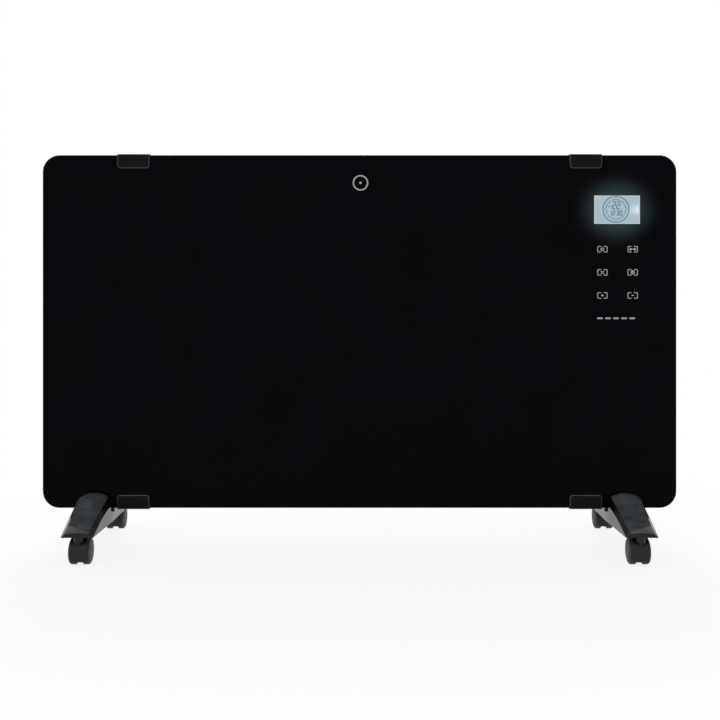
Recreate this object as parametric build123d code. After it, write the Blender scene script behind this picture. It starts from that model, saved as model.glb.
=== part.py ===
"""Free-standing convector heater with a glass front, two feet and four twin-wheel castors.

Millimetres, +Z up. +X is to the right when the glass is looked at from the front, and +Y runs
from the glass to the back. The pieces are drawn with Y = 0 on the front of the glass and Z = 0
on the floor, and move along Y when they are written, so that the origin is on the floor under
the middle of the whole heater.
"""
from build123d import *
import math
import os

# Glass front
GLASS_WIDTH = 830.0
GLASS_HEIGHT = 462.0
GLASS_THICKNESS = 5.0
GLASS_CORNER_R = 22.0
GLASS_EDGE_BEVEL = 0.6

# Castors
WHEEL_D = 33.0
WHEEL_WIDTH = 9.2
WHEEL_SPACING = 9.0
WHEEL_SHOULDER_R = 3.0
WHEEL_DOME = 1.0
WHEEL_CAP_R = 3.0
WHEEL_GROOVE = 0.8
AXLE_D = 4.0
AXLE_SEAT = 7.2
STEM_D = 6.0
STEM_LENGTH = 17.5
CASTOR_TRAIL = 14.0
HOOD_THICKNESS = 1.5
HOOD_WIDTH = 21.6
HOOD_WHEEL_GAP = 0.8
HOOD_BOTTOM_Z = 5.8
HOOD_REAR_LIFT = 4.0
STEM_BOSS_R = 5.5
STEM_BOSS_TIP_Z = 25.0
WEB_WHEEL_GAP = 0.3

# Sockets that hold the castor stems in the feet
SOCKET_R = 4.5
SOCKET_DEPTH = 4.8
SOCKET_FLANGE_R = 6.3
SOCKET_FLANGE_THICKNESS = 1.2
SOCKET_SETBACK = 6.5
SWIVEL_GAP = 0.3

# Fits
RUNNING_FIT = 0.05
HOLDING_FIT = 0.02
SCREW_FIT = 0.2

# Feet
FOOT_INSET = 68.5
FOOT_REACH_FRONT = 90.0
FOOT_REACH_REAR = 56.0
FOOT_WALL = 2.5
FOOT_CASTOR_GAP = 1.9
FOOT_RISE_TO_GLASS = 17.4
FOOT_GLASS_GAP = 0.3
FOOT_SLOT_GAP = 0.5
FOOT_SOLID_TIP = 15.0
FOOT_BASE_THICKNESS = 2.5
FOOT_BASE_GAP = 0.3
FOOT_BOSS_R = 4.0
FOOT_SCREW_SPACING = 24.0
FOOT_BOSS_FROM_TIP = 30.0
FOOT_BOSS_FROM_SLOT = 6.0
FOOT_BOSS_FROM_REAR = 22.0
FOOT_TOOTH = (2.4, 4.0, 4.5)

# Steel casing behind the glass
GLASS_OVERHANG = 30.0
CASING_INSET = 8.0
CASING_DEPTH = 54.0
SHEET = 1.0
CASING_BEND_R = 5.0
CASING_LIP = 10.0
END_CAP_THICKNESS = 3.0
END_CAP_COLLAR = 8.0
GLASS_CASING_GAP = 1.0

# Slots in the back of the casing
BACK_SLOT_WIDTH = 4.0
BACK_SLOT_HEIGHT = 24.0
BACK_SLOT_PITCH = 16.0
BACK_SLOT_RISE = 56.0
WALL_HOLE_R = 3.0
WALL_HOLE_SPACING_X = 400.0
WALL_HOLE_SPACING_Z = 200.0

# Grilles in the top and the bottom of the casing
GRILLE_TO_CLIP = 10.0
GRILLE_DEPTH = 40.0
GRILLE_RIM = 5.0
GRILLE_RIM_THICKNESS = 2.0
GRILLE_COLLAR = 7.0
GRILLE_WALL = 1.6
GRILLE_SLATS = 5
GRILLE_RIBS = 9
GRILLE_SLAT_THICKNESS = 1.6

# Clips that hold the glass
CLIP_INSET = 89.0
CLIP_WIDTH = 42.0
CLIP_OVERLAP = 17.2
CLIP_FRONT = 2.6
CLIP_WEB = 1.2
CLIP_REACH = 22.0
CLIP_CORNER_R = 4.0
CLIP_BEVEL = 0.9
CLIP_SCREW_BACK = 12.5
PAD_HEIGHT = 14.0

# Screws
SCREW_D = 4.0
SCREW_HEAD_R = 4.0
SCREW_HEAD_HEIGHT = 1.4
SLOT_IN_HEAD = 0.8

# Finned heating elements
ELEMENT_END_GAP = 32.0
ELEMENT_TO_BAY = 25.0
ELEMENT_TO_ELEMENT = 20.0
ELEMENT_PIN_LENGTH = 8.0
ELEMENT_PIN_R = 4.0
ELEMENT_CORE_R = 6.5
ELEMENT_FIN = 25.0
ELEMENT_FIN_THICKNESS = 1.8
ELEMENT_FIN_ANGLE = 35.0
ELEMENT_RISE = 127.0
BRACKET_HEIGHT = 64.0
BRACKET_FLANGE = 9.0
INSULATOR_R = 9.0
INSULATOR_LENGTH = 6.0

# Shield between the air duct and the glass, bent at its end into a partition
SHIELD_THICKNESS = 0.8

# Display and touch marks, measured from the top and the right side of the glass
DISPLAY_INSET = 77.8
DISPLAY_DROP = 71.4
DISPLAY_WIDTH = 62.0
DISPLAY_HEIGHT = 40.0
DISPLAY_THICKNESS = 2.4
BACKLIGHT_THICKNESS = 3.0
TOUCH_COLUMN_GAP = 39.7
TOUCH_COLUMN_SHIFT = 0.65
TOUCH_FIRST_DROP = 123.2
TOUCH_PITCH = 30.25
TOUCH_SPRING_R = 4.0
TOUCH_SPRING_WALL = 0.8
BOARD_THICKNESS = 1.6
CONTROL_BOX_WIDTH = 82.0
CONTROL_BOX_TOP_MARGIN = 12.0
CONTROL_BOX_BOTTOM_MARGIN = 16.0
CONTROL_BOX_DEPTH = 20.0
CONTROL_BOX_WALL = 2.0
BOARD_TO_BOX = 6.0

# Mains switch in the right end cap
SWITCH_ABOVE_TERMINAL = 20.0
SWITCH_LENGTH = 25.0
SWITCH_WIDTH = 10.0
SWITCH_WALL = 1.4
SWITCH_RIM = 1.8
SWITCH_RIM_THICKNESS = 2.0
SWITCH_DEPTH = 17.0
SWITCH_TAB_LENGTH = 7.0
SWITCH_TAB_THICKNESS = 0.8
SWITCH_TAB_OFFSET = 7.0
SWITCH_TILT = 8.0
SWITCH_SWING_GAP = 0.9
SWITCH_SIDE_GAP = 0.3
ROCKER_RISE = 4.0
ROCKER_DIP = 1.8
ROCKER_DROP = 3.0
ROCKER_PIN_R = 1.3
ROCKER_PIN_LENGTH = 1.0

# Cable gland in the right end cap
GLAND_ABOVE_MIDDLE = 5.0
GLAND_BORE_R = 3.9
GLAND_FLANGE_R = 9.0
GLAND_FLANGE_THICKNESS = 3.0
GLAND_DOME_R = 7.5
GLAND_DOME_LENGTH = 9.0
GLAND_SHANK_R = 6.0
GLAND_NUT_R = 9.0
GLAND_NUT_THICKNESS = 4.0

# Parts in the bay behind the display
POWER_BOARD_WIDTH = 64.0
POWER_BOARD_HEIGHT = 96.0
POWER_BOARD_TO_BOX = 13.3
RELAY_SIZE = (20.0, 15.0, 26.0)
RELAY_OFFSETS = (-16.0, 16.0)
RELAY_FROM_TOP = 10.0
TRANSFORMER_SIZE = (32.0, 16.0, 26.0)
TRANSFORMER_OFFSET = -4.0
TRANSFORMER_FROM_BOTTOM = 14.0
CAPACITOR_R = 6.0
CAPACITOR_HEIGHT = 12.0
CAPACITOR_OFFSET = 22.0
CAPACITOR_FROM_BOTTOM = 26.0
STANDOFF_FROM_EDGE = 5.0
STANDOFF_R = 3.0
STANDOFF_LENGTH = 6.0
TERMINAL_BLOCK_SIZE = (34.0, 16.0, 22.0)
TERMINAL_TO_BOARD = 33.0
TILT_SWITCH_SIZE = (16.0, 14.0, 24.0)
TILT_SWITCH_FROM_BAY_END = 21.0
TILT_SWITCH_RISE = 30.0
CUTOUT_R = 8.0
CUTOUT_THICKNESS = 6.0
CUTOUT_RISE = 175.0
SENSOR_R = 2.4
SENSOR_LENGTH = 12.0
SENSOR_RISE = 10.0
WIRE_R = 1.3

# Levels and depths that follow from the sizes above
WHEEL_R = WHEEL_D / 2
AXLE_Z = WHEEL_R
HOOD_INNER_R = WHEEL_R + HOOD_WHEEL_GAP
HOOD_OUTER_R = HOOD_INNER_R + HOOD_THICKNESS
FOOT_BASE_Z = AXLE_Z + HOOD_OUTER_R + FOOT_CASTOR_GAP
CASTOR_TOP_Z = FOOT_BASE_Z - SOCKET_FLANGE_THICKNESS - SWIVEL_GAP
GLASS_BOTTOM_Z = FOOT_BASE_Z + FOOT_RISE_TO_GLASS + FOOT_GLASS_GAP
GLASS_TOP_Z = GLASS_BOTTOM_Z + GLASS_HEIGHT
CASING_FRONT_Y = GLASS_THICKNESS + GLASS_CASING_GAP
CASING_BACK_Y = CASING_FRONT_Y + CASING_DEPTH
CASING_BOTTOM_Z = GLASS_BOTTOM_Z + CASING_INSET
CASING_TOP_Z = GLASS_TOP_Z - CASING_INSET
CASING_MID_Z = (CASING_BOTTOM_Z + CASING_TOP_Z) / 2
DUCT_MID_Y = (CASING_FRONT_Y + CASING_BACK_Y) / 2
INNER_BACK_Y = CASING_BACK_Y - SHEET
CASING_WIDTH = GLASS_WIDTH - 2 * GLASS_OVERHANG
CAP_OUTER_X = CASING_WIDTH / 2
CAP_INNER_X = CAP_OUTER_X - END_CAP_THICKNESS
FOOT_X = GLASS_WIDTH / 2 - FOOT_INSET
CLIP_X = CAP_OUTER_X - CLIP_INSET
PARTITION_X = CLIP_X - CLIP_WIDTH / 2
GRILLE_LENGTH = 2 * (PARTITION_X - GRILLE_RIM - GRILLE_TO_CLIP)
BACK_SLOT_COUNT = int(GRILLE_LENGTH // BACK_SLOT_PITCH)
ELEMENT_LEFT_X = ELEMENT_END_GAP - CAP_INNER_X
ELEMENT_LENGTH = (PARTITION_X - ELEMENT_TO_BAY - ELEMENT_LEFT_X - ELEMENT_TO_ELEMENT) / 2
ELEMENT_RIGHT_X = ELEMENT_LEFT_X + ELEMENT_LENGTH + ELEMENT_TO_ELEMENT
DISPLAY_X = GLASS_WIDTH / 2 - DISPLAY_INSET
TOUCH_MIDDLE_X = DISPLAY_X + TOUCH_COLUMN_SHIFT
TOUCH_COLUMNS = (TOUCH_MIDDLE_X - TOUCH_COLUMN_GAP / 2, TOUCH_MIDDLE_X + TOUCH_COLUMN_GAP / 2)
TOUCH_DROPS = tuple(TOUCH_FIRST_DROP + TOUCH_PITCH * row for row in range(3))
TILT_SWITCH_X = PARTITION_X + TILT_SWITCH_FROM_BAY_END
FOOT_FRONT_Y = -FOOT_REACH_FRONT
FOOT_REAR_Y = CASING_BACK_Y + FOOT_REACH_REAR
SLOT_FRONT_Y = -FOOT_SLOT_GAP
SLOT_BACK_Y = CASING_BACK_Y + FOOT_SLOT_GAP
STEM_Y_FRONT = FOOT_FRONT_Y + SOCKET_SETBACK
STEM_Y_REAR = FOOT_REAR_Y - SOCKET_SETBACK
ELEMENT_Z = CASING_BOTTOM_Z + ELEMENT_RISE
DISPLAY_Z = GLASS_TOP_Z - DISPLAY_DROP
CONTROL_BOX_BOTTOM_Z = GLASS_TOP_Z - TOUCH_DROPS[-1] - CONTROL_BOX_BOTTOM_MARGIN
POWER_BOARD_Z = CONTROL_BOX_BOTTOM_Z - POWER_BOARD_TO_BOX - POWER_BOARD_HEIGHT
TERMINAL_BLOCK_Z = POWER_BOARD_Z - TERMINAL_TO_BOARD - TERMINAL_BLOCK_SIZE[2]
HOOD_REACH = math.sqrt(HOOD_OUTER_R ** 2 - HOOD_REAR_LIFT ** 2)
REAR_REACH_Y = STEM_Y_REAR + CASTOR_TRAIL + HOOD_REACH
DEPTH_MIDDLE_Y = (FOOT_FRONT_Y + REAR_REACH_Y) / 2

# Cross-sections of a foot's arm, from its tip to its root. Each holds the distance from the tip
# as a share of the arm, half the width, the height of the crease at the side, half the width of
# the crown, and the heights of the crown's edge and of its middle, all above the foot's base.
ARM_STATIONS = (
    (0.00, 19.8, 0.6, 14.5, 5.0, 5.7),
    (0.33, 20.8, 10.7, 15.8, 16.0, 18.0),
    (0.61, 21.8, 17.8, 17.2, 24.2, 27.8),
    (0.85, 22.8, 21.6, 18.6, 31.2, 37.2),
    (1.00, 23.2, 22.4, 18.9, 31.8, 37.6),
)

CASTORS = {
    "front_left": (-FOOT_X, STEM_Y_FRONT),
    "front_right": (FOOT_X, STEM_Y_FRONT),
    "rear_left": (-FOOT_X, STEM_Y_REAR),
    "rear_right": (FOOT_X, STEM_Y_REAR),
}


# Simple solids

def block(x, y, z):
    """A box between two values on each axis."""
    return Pos(sum(x) / 2, sum(y) / 2, sum(z) / 2) * Box(x[1] - x[0], y[1] - y[0], z[1] - z[0])


def post(x, y, radius, z):
    """A cylinder along Z between two heights."""
    return Pos(x, y, sum(z) / 2) * Cylinder(radius, z[1] - z[0])


def rod(x, y, z, radius):
    """A cylinder along X between two values of x."""
    return Pos(sum(x) / 2, y, z) * Rot(0, 90, 0) * Cylinder(radius, x[1] - x[0])


def peg(x, y, z, radius):
    """A cylinder along Y between two values of y."""
    return Pos(x, sum(y) / 2, z) * Rot(90, 0, 0) * Cylinder(radius, y[1] - y[0])


def rounded_plate(width, height, radius, x, z, y):
    """An upright plate with round corners, between two values of y."""
    outline = Pos(x, z) * RectangleRounded(width, height, radius)
    return extrude(Plane((0, y[0], 0), x_dir=(1, 0, 0), z_dir=(0, -1, 0)) * outline, -(y[1] - y[0]))


def side_plate(outline, x):
    """An outline drawn in Y and Z, made as thick as the distance between two values of x."""
    return extrude(Plane((x[0], 0, 0), x_dir=(0, 1, 0), z_dir=(1, 0, 0)) * outline, x[1] - x[0])


def screw(length):
    """A slotted pan head screw that points down from the origin, with its head above."""
    head = Pos(0, 0, SCREW_HEAD_HEIGHT / 2) * Cylinder(SCREW_HEAD_R, SCREW_HEAD_HEIGHT)
    head = fillet(head.edges().group_by(Axis.Z)[-1], SCREW_HEAD_HEIGHT * 0.5)
    slot = Pos(0, 0, SCREW_HEAD_HEIGHT) * Box(SCREW_HEAD_R * 2, SLOT_IN_HEAD, SCREW_HEAD_HEIGHT * 0.8)
    shank = Pos(0, 0, -length / 2) * Cylinder(SCREW_D / 2, length)
    return head + shank - slot


# Glass, clips, pads and their screws

def glass_panel():
    middle_z = (GLASS_BOTTOM_Z + GLASS_TOP_Z) / 2
    pane = rounded_plate(GLASS_WIDTH, GLASS_HEIGHT, GLASS_CORNER_R, 0, middle_z, (0, GLASS_THICKNESS))
    rims = pane.edges().filter_by_position(Axis.Y, -0.01, 0.01)
    return chamfer(rims, GLASS_EDGE_BEVEL)


def clip_top(x):
    """The lip in front of the glass, the web over its edge and the block on the casing."""
    lip_z = (GLASS_TOP_Z - CLIP_OVERLAP, GLASS_TOP_Z + CLIP_WEB)
    span = (x - CLIP_WIDTH / 2, x + CLIP_WIDTH / 2)
    lip = block(span, (-CLIP_FRONT, 0), lip_z)
    corners = lip.edges().filter_by(Axis.Y).group_by(Axis.Z)[0]
    lip = fillet(corners, CLIP_CORNER_R)
    face_edges = lip.faces().sort_by(Axis.Y)[0].edges()
    lip = chamfer(face_edges, CLIP_BEVEL)
    web = block(span, (-CLIP_FRONT + CLIP_BEVEL, CLIP_REACH), (GLASS_TOP_Z, GLASS_TOP_Z + CLIP_WEB))
    seat = block(span, (GLASS_THICKNESS, CLIP_REACH), (CASING_TOP_Z, GLASS_TOP_Z))
    hole = post(x, CLIP_SCREW_BACK, SCREW_D / 2 + SCREW_FIT, (CASING_TOP_Z, GLASS_TOP_Z + CLIP_WEB))
    return lip + web + seat - hole


def upside_down(piece):
    """The same piece mirrored in height about the middle of the glass."""
    return mirror(piece, Plane((0, 0, (GLASS_BOTTOM_Z + GLASS_TOP_Z) / 2), z_dir=(0, 0, 1)))


def clip_pads():
    """Soft pads between the back of the glass and the casing's front lips."""
    pads = []
    for x in (-CLIP_X, CLIP_X):
        pad = block((x - CLIP_WIDTH / 2, x + CLIP_WIDTH / 2), (GLASS_THICKNESS, CASING_FRONT_Y),
                    (CASING_TOP_Z - PAD_HEIGHT, CASING_TOP_Z))
        pads += [pad, upside_down(pad)]
    return pads


def clip_screws():
    screws = []
    for x in (-CLIP_X, CLIP_X):
        length = CASING_INSET + CLIP_WEB + SHEET + 5.0
        top = Pos(x, CLIP_SCREW_BACK, GLASS_TOP_Z + CLIP_WEB) * screw(length)
        screws += [top, upside_down(top)]
    return screws


# Casing, end caps, grilles and shield

def channel_outline(gap):
    """The outline of the casing in Y and Z, smaller by gap on every side but the front."""
    depth = CASING_DEPTH - gap
    height = CASING_TOP_Z - CASING_BOTTOM_Z - 2 * gap
    outline = Pos(CASING_FRONT_Y + depth / 2, CASING_MID_Z) * Rectangle(depth, height)
    back_corners = outline.vertices().group_by(Axis.X)[-1]
    return fillet(back_corners, CASING_BEND_R - gap)


def grille_hole(z):
    """The opening in the casing that a grille's collar goes through."""
    half = (GRILLE_LENGTH / 2 + SCREW_FIT, GRILLE_DEPTH / 2 + SCREW_FIT)
    return block((-half[0], half[0]), (DUCT_MID_Y - half[1], DUCT_MID_Y + half[1]), (z - 5, z + 5))


def back_slots():
    """Rows of upright slots in the back wall that let air in low down and out high up."""
    slot = Rot(0, 0, 90) * SlotOverall(BACK_SLOT_HEIGHT, BACK_SLOT_WIDTH)
    first_x = -BACK_SLOT_PITCH * (BACK_SLOT_COUNT - 1) / 2
    slots = Sketch()
    for z in (CASING_BOTTOM_Z + BACK_SLOT_RISE, CASING_TOP_Z - BACK_SLOT_RISE):
        slots += [Pos(first_x + BACK_SLOT_PITCH * i, z) * slot for i in range(BACK_SLOT_COUNT)]
    plane = Plane((0, CASING_BACK_Y + 1, 0), x_dir=(1, 0, 0), z_dir=(0, -1, 0))
    return extrude(plane * slots, SHEET + 2)


def wall_holes():
    """The four screw holes for a wall bracket."""
    holes = []
    for x in (-WALL_HOLE_SPACING_X / 2, WALL_HOLE_SPACING_X / 2):
        for z in (-WALL_HOLE_SPACING_Z / 2, WALL_HOLE_SPACING_Z / 2):
            holes.append(peg(x, (INNER_BACK_Y - 1, CASING_BACK_Y + 1), CASING_MID_Z + z, WALL_HOLE_R))
    return holes


def cap_screw_places():
    """Where the screws go through the casing's back wall into the end caps."""
    x = CAP_INNER_X - END_CAP_COLLAR / 2
    heights = (CASING_BOTTOM_Z + 25, CASING_MID_Z, CASING_TOP_Z - 25)
    return [(side * x, z) for side in (-1, 1) for z in heights]


def foot_screw_places(side):
    """Where a foot is screwed to the casing from below."""
    half = FOOT_SCREW_SPACING / 2
    return [(side * FOOT_X - half, DUCT_MID_Y), (side * FOOT_X + half, DUCT_MID_Y)]


def rear_casing():
    """A sheet folded into a channel, open at both ends, with lips along its front."""
    span = (-CAP_INNER_X, CAP_INNER_X)
    shell = side_plate(channel_outline(0), span) - side_plate(channel_outline(SHEET), span)
    for z in ((CASING_BOTTOM_Z + SHEET, CASING_BOTTOM_Z + CASING_LIP),
              (CASING_TOP_Z - CASING_LIP, CASING_TOP_Z - SHEET)):
        shell += block(span, (CASING_FRONT_Y, CASING_FRONT_Y + SHEET), z)
    shell -= grille_hole(CASING_TOP_Z)
    shell -= grille_hole(CASING_BOTTOM_Z)
    shell -= back_slots()
    shell -= wall_holes()
    for x in (-CLIP_X, CLIP_X):
        shell -= post(x, CLIP_SCREW_BACK, SCREW_D / 2 + HOLDING_FIT, (CASING_BOTTOM_Z - 1, CASING_TOP_Z + 1))
    for x, z in cap_screw_places():
        shell -= peg(x, (INNER_BACK_Y - 1, CASING_BACK_Y + 1), z, SCREW_D / 2 + SCREW_FIT)
    for side in (-1, 1):
        for x, y in foot_screw_places(side):
            shell -= post(x, y, SCREW_D / 2 + HOLDING_FIT, (CASING_BOTTOM_Z - 1, CASING_BOTTOM_Z + SHEET + 1))
    return shell


def end_cap(side):
    """A moulded cap with a collar that goes into the end of the casing."""
    outer = side_plate(channel_outline(0), (CAP_INNER_X, CAP_OUTER_X))
    outer = fillet(outer.faces().sort_by(Axis.X)[-1].edges(), 1.5)
    collar_x = (CAP_INNER_X - END_CAP_COLLAR, CAP_INNER_X)
    gap = SHEET + HOLDING_FIT
    collar = side_plate(channel_outline(gap), collar_x)
    collar -= side_plate(channel_outline(gap + 2.0), collar_x)
    collar -= block(collar_x, (CASING_FRONT_Y - 1, CASING_FRONT_Y + SHEET + SHIELD_THICKNESS + 0.3),
                    (CASING_BOTTOM_Z, CASING_TOP_Z))
    cap = outer + collar
    for x, z in cap_screw_places():
        if x > 0:
            cap += peg(x, (INNER_BACK_Y - 10, INNER_BACK_Y - HOLDING_FIT), z, END_CAP_COLLAR / 2)
            cap -= peg(x, (INNER_BACK_Y - 10, INNER_BACK_Y), z, SCREW_D / 2 + HOLDING_FIT)
    if side < 0:
        return mirror(cap, Plane.YZ)
    cap -= switch_opening()
    cap -= rod((CAP_INNER_X - 1, CAP_OUTER_X + 1), DUCT_MID_Y, gland_z(), GLAND_SHANK_R + HOLDING_FIT)
    return cap


def casing_screws():
    screws = []
    for x, z in cap_screw_places():
        screws.append(Pos(x, CASING_BACK_Y, z) * Rot(-90, 0, 0) * screw(9.0))
    return screws


def top_grille():
    """A rim on the casing, a collar through its opening, and slats with ribs across them."""
    half_x = GRILLE_LENGTH / 2
    half_y = GRILLE_DEPTH / 2
    y = (DUCT_MID_Y - half_y, DUCT_MID_Y + half_y)
    rim_z = (CASING_TOP_Z, CASING_TOP_Z + GRILLE_RIM_THICKNESS)
    body_z = (CASING_TOP_Z - GRILLE_COLLAR, rim_z[1])
    rim = block((-half_x - GRILLE_RIM, half_x + GRILLE_RIM), (y[0] - GRILLE_RIM, y[1] + GRILLE_RIM), rim_z)
    rim = fillet(rim.edges().filter_by(Axis.Z), 3.0)
    rim = chamfer(rim.faces().sort_by(Axis.Z)[-1].edges(), 0.8)
    body = rim + block((-half_x, half_x), y, body_z)
    inner_y = (y[0] + GRILLE_WALL, y[1] - GRILLE_WALL)
    body -= block((-half_x + GRILLE_WALL, half_x - GRILLE_WALL), inner_y, (body_z[0] - 1, body_z[1] + 1))
    slat_z = (body_z[0], rim_z[1] - 0.4)
    pitch_y = (inner_y[1] - inner_y[0]) / (GRILLE_SLATS + 1)
    half_slat = GRILLE_SLAT_THICKNESS / 2
    for i in range(1, GRILLE_SLATS + 1):
        middle = inner_y[0] + i * pitch_y
        body += block((-half_x + GRILLE_WALL / 2, half_x - GRILLE_WALL / 2),
                      (middle - half_slat, middle + half_slat), slat_z)
    pitch_x = GRILLE_LENGTH / (GRILLE_RIBS + 1)
    for i in range(1, GRILLE_RIBS + 1):
        middle = -half_x + i * pitch_x
        body += block((middle - half_slat, middle + half_slat),
                      (y[0] + GRILLE_WALL / 2, y[1] - GRILLE_WALL / 2), (slat_z[0], slat_z[1] - 1.5))
    return body


def front_heat_shield():
    """A sheet behind the casing's lips, bent back at its right end to close off the air duct."""
    y = (CASING_FRONT_Y + SHEET, CASING_FRONT_Y + SHEET + SHIELD_THICKNESS)
    z = (CASING_BOTTOM_Z + SHEET, CASING_TOP_Z - SHEET)
    left_x = -CAP_INNER_X + HOLDING_FIT
    sheet = block((left_x, PARTITION_X), y, z)
    partition = side_plate(channel_outline(SHEET), (PARTITION_X - SHIELD_THICKNESS, PARTITION_X))
    partition -= block((0, CASING_WIDTH), (0, y[0]), (0, GLASS_TOP_Z))
    grommet = rod((PARTITION_X - 3, PARTITION_X + 3), DUCT_MID_Y, ELEMENT_Z, 5.0)
    low_grommet = rod((PARTITION_X - 3, PARTITION_X + 3), LOW_WIRE_Y, LOW_WIRE_Z, 3.0)
    shield = sheet + partition - grommet - low_grommet
    for x in (-CLIP_X, CLIP_X):
        near_screw = (x - SCREW_D, x + SCREW_D)
        for edge_z in z:
            shield -= block(near_screw, (y[0] - 1, CLIP_SCREW_BACK + SCREW_D), (edge_z - 8, edge_z + 8))
    return shield


# Heating elements and what carries them

def element_x_ranges():
    return [(ELEMENT_LEFT_X, ELEMENT_LEFT_X + ELEMENT_LENGTH),
            (ELEMENT_RIGHT_X, ELEMENT_RIGHT_X + ELEMENT_LENGTH)]


def heating_element(x):
    """An extruded aluminium bar with four fins in the shape of an X, and a pin at each end."""
    outline = Circle(ELEMENT_CORE_R)
    for angle in (ELEMENT_FIN_ANGLE, -ELEMENT_FIN_ANGLE):
        outline += Rot(0, 0, angle) * Rectangle(ELEMENT_FIN_THICKNESS, ELEMENT_FIN * 2)
    bar = side_plate(Pos(DUCT_MID_Y, ELEMENT_Z) * outline, x)
    pin_x = (x[0] - ELEMENT_PIN_LENGTH, x[1] + ELEMENT_PIN_LENGTH)
    return bar + rod(pin_x, DUCT_MID_Y, ELEMENT_Z, ELEMENT_PIN_R)


def insulator_ranges():
    """The stretch of x that each insulator takes, next to the end of its element."""
    ranges = []
    for low, high in element_x_ranges():
        ranges.append((low - 1 - INSULATOR_LENGTH, low - 1))
        ranges.append((high + 1, high + 1 + INSULATOR_LENGTH))
    return ranges


def element_insulators():
    """Ceramic rings round the pins of the elements."""
    rings = []
    for x in insulator_ranges():
        ring = rod(x, DUCT_MID_Y, ELEMENT_Z, INSULATOR_R)
        rings.append(ring - rod(x, DUCT_MID_Y, ELEMENT_Z, ELEMENT_PIN_R + HOLDING_FIT))
    return rings


def element_brackets():
    """Steel plates on the back wall that hold the insulators."""
    brackets = []
    z = (ELEMENT_Z - BRACKET_HEIGHT / 2, ELEMENT_Z + BRACKET_HEIGHT / 2)
    for low, high in insulator_ranges():
        middle = (low + high) / 2
        plate_x = (middle - SHEET / 2, middle + SHEET / 2)
        plate = block(plate_x, (CASING_FRONT_Y + 7, INNER_BACK_Y), z)
        flange = block((plate_x[0], plate_x[0] + BRACKET_FLANGE), (INNER_BACK_Y - SHEET, INNER_BACK_Y), z)
        hole = rod((plate_x[0] - 1, plate_x[1] + 1), DUCT_MID_Y, ELEMENT_Z, INSULATOR_R + HOLDING_FIT)
        brackets.append(plate + flange - hole)
    return brackets


# Electrical parts in the bay behind the display

def switch_z():
    return TERMINAL_BLOCK_Z + SWITCH_ABOVE_TERMINAL


def gland_z():
    """A little above the middle between the bottom of the casing and the switch."""
    return (CASING_BOTTOM_Z + switch_z()) / 2 + GLAND_ABOVE_MIDDLE


def switch_half_sizes(margin):
    """Half the width in Y and half the length in Z of the rocker's well, larger by margin."""
    return (SWITCH_WIDTH / 2 + SWITCH_SIDE_GAP + margin, SWITCH_LENGTH / 2 + SWITCH_SWING_GAP + margin)


def switch_block(margin, x):
    half_y, half_z = switch_half_sizes(margin)
    return block(x, (DUCT_MID_Y - half_y, DUCT_MID_Y + half_y), (switch_z() - half_z, switch_z() + half_z))


def switch_opening():
    return switch_block(SWITCH_WALL + HOLDING_FIT, (CAP_INNER_X - 1, CAP_OUTER_X + 1))


def rocker_axis_x():
    return CAP_OUTER_X


def switch_housing():
    """A frame round the rocker and a box behind it, with two tabs for the leads."""
    rim_x = (CAP_OUTER_X, CAP_OUTER_X + SWITCH_RIM_THICKNESS)
    rim = switch_block(SWITCH_WALL + SWITCH_RIM, rim_x)
    rim = fillet(rim.edges().filter_by(Axis.X), 2.0)
    rim = chamfer(rim.faces().sort_by(Axis.X)[-1].edges(), 0.6)
    back_x = CAP_OUTER_X - SWITCH_DEPTH
    housing = rim + switch_block(SWITCH_WALL, (back_x, CAP_OUTER_X))
    housing -= switch_block(0, (back_x + 6, rim_x[1] + 1))
    pin_reach = SWITCH_WIDTH / 2 + ROCKER_PIN_LENGTH + SWITCH_SIDE_GAP
    housing -= peg(rocker_axis_x(), (DUCT_MID_Y - pin_reach, DUCT_MID_Y + pin_reach), switch_z(),
                   ROCKER_PIN_R + RUNNING_FIT)
    half_tab = SWITCH_TAB_THICKNESS / 2
    for offset in (-SWITCH_TAB_OFFSET, SWITCH_TAB_OFFSET):
        housing += block((back_x - SWITCH_TAB_LENGTH, back_x), (DUCT_MID_Y - 3, DUCT_MID_Y + 3),
                         (switch_z() + offset - half_tab, switch_z() + offset + half_tab))
    return housing


def switch_rocker():
    """A rocker with a shallow V on its face, tilted to the off side, with two pivot pins."""
    half = SWITCH_LENGTH / 2
    outline = make_face(Polyline((ROCKER_RISE, -half), (ROCKER_DIP, 0), (ROCKER_RISE, half),
                                 (-ROCKER_DROP, half - 2), (-ROCKER_DROP, 2 - half), close=True))
    plane = Plane((0, -SWITCH_WIDTH / 2, 0), x_dir=(1, 0, 0), z_dir=(0, -1, 0))
    rocker = extrude(plane * outline, -SWITCH_WIDTH)
    rocker = fillet(rocker.edges().filter_by(Axis.Y).group_by(Axis.X)[-1], 0.8)
    pin = SWITCH_WIDTH / 2 + ROCKER_PIN_LENGTH
    rocker += peg(0, (-pin, pin), 0, ROCKER_PIN_R)
    return Pos(rocker_axis_x(), DUCT_MID_Y, switch_z()) * Rot(0, -SWITCH_TILT, 0) * rocker


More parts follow.
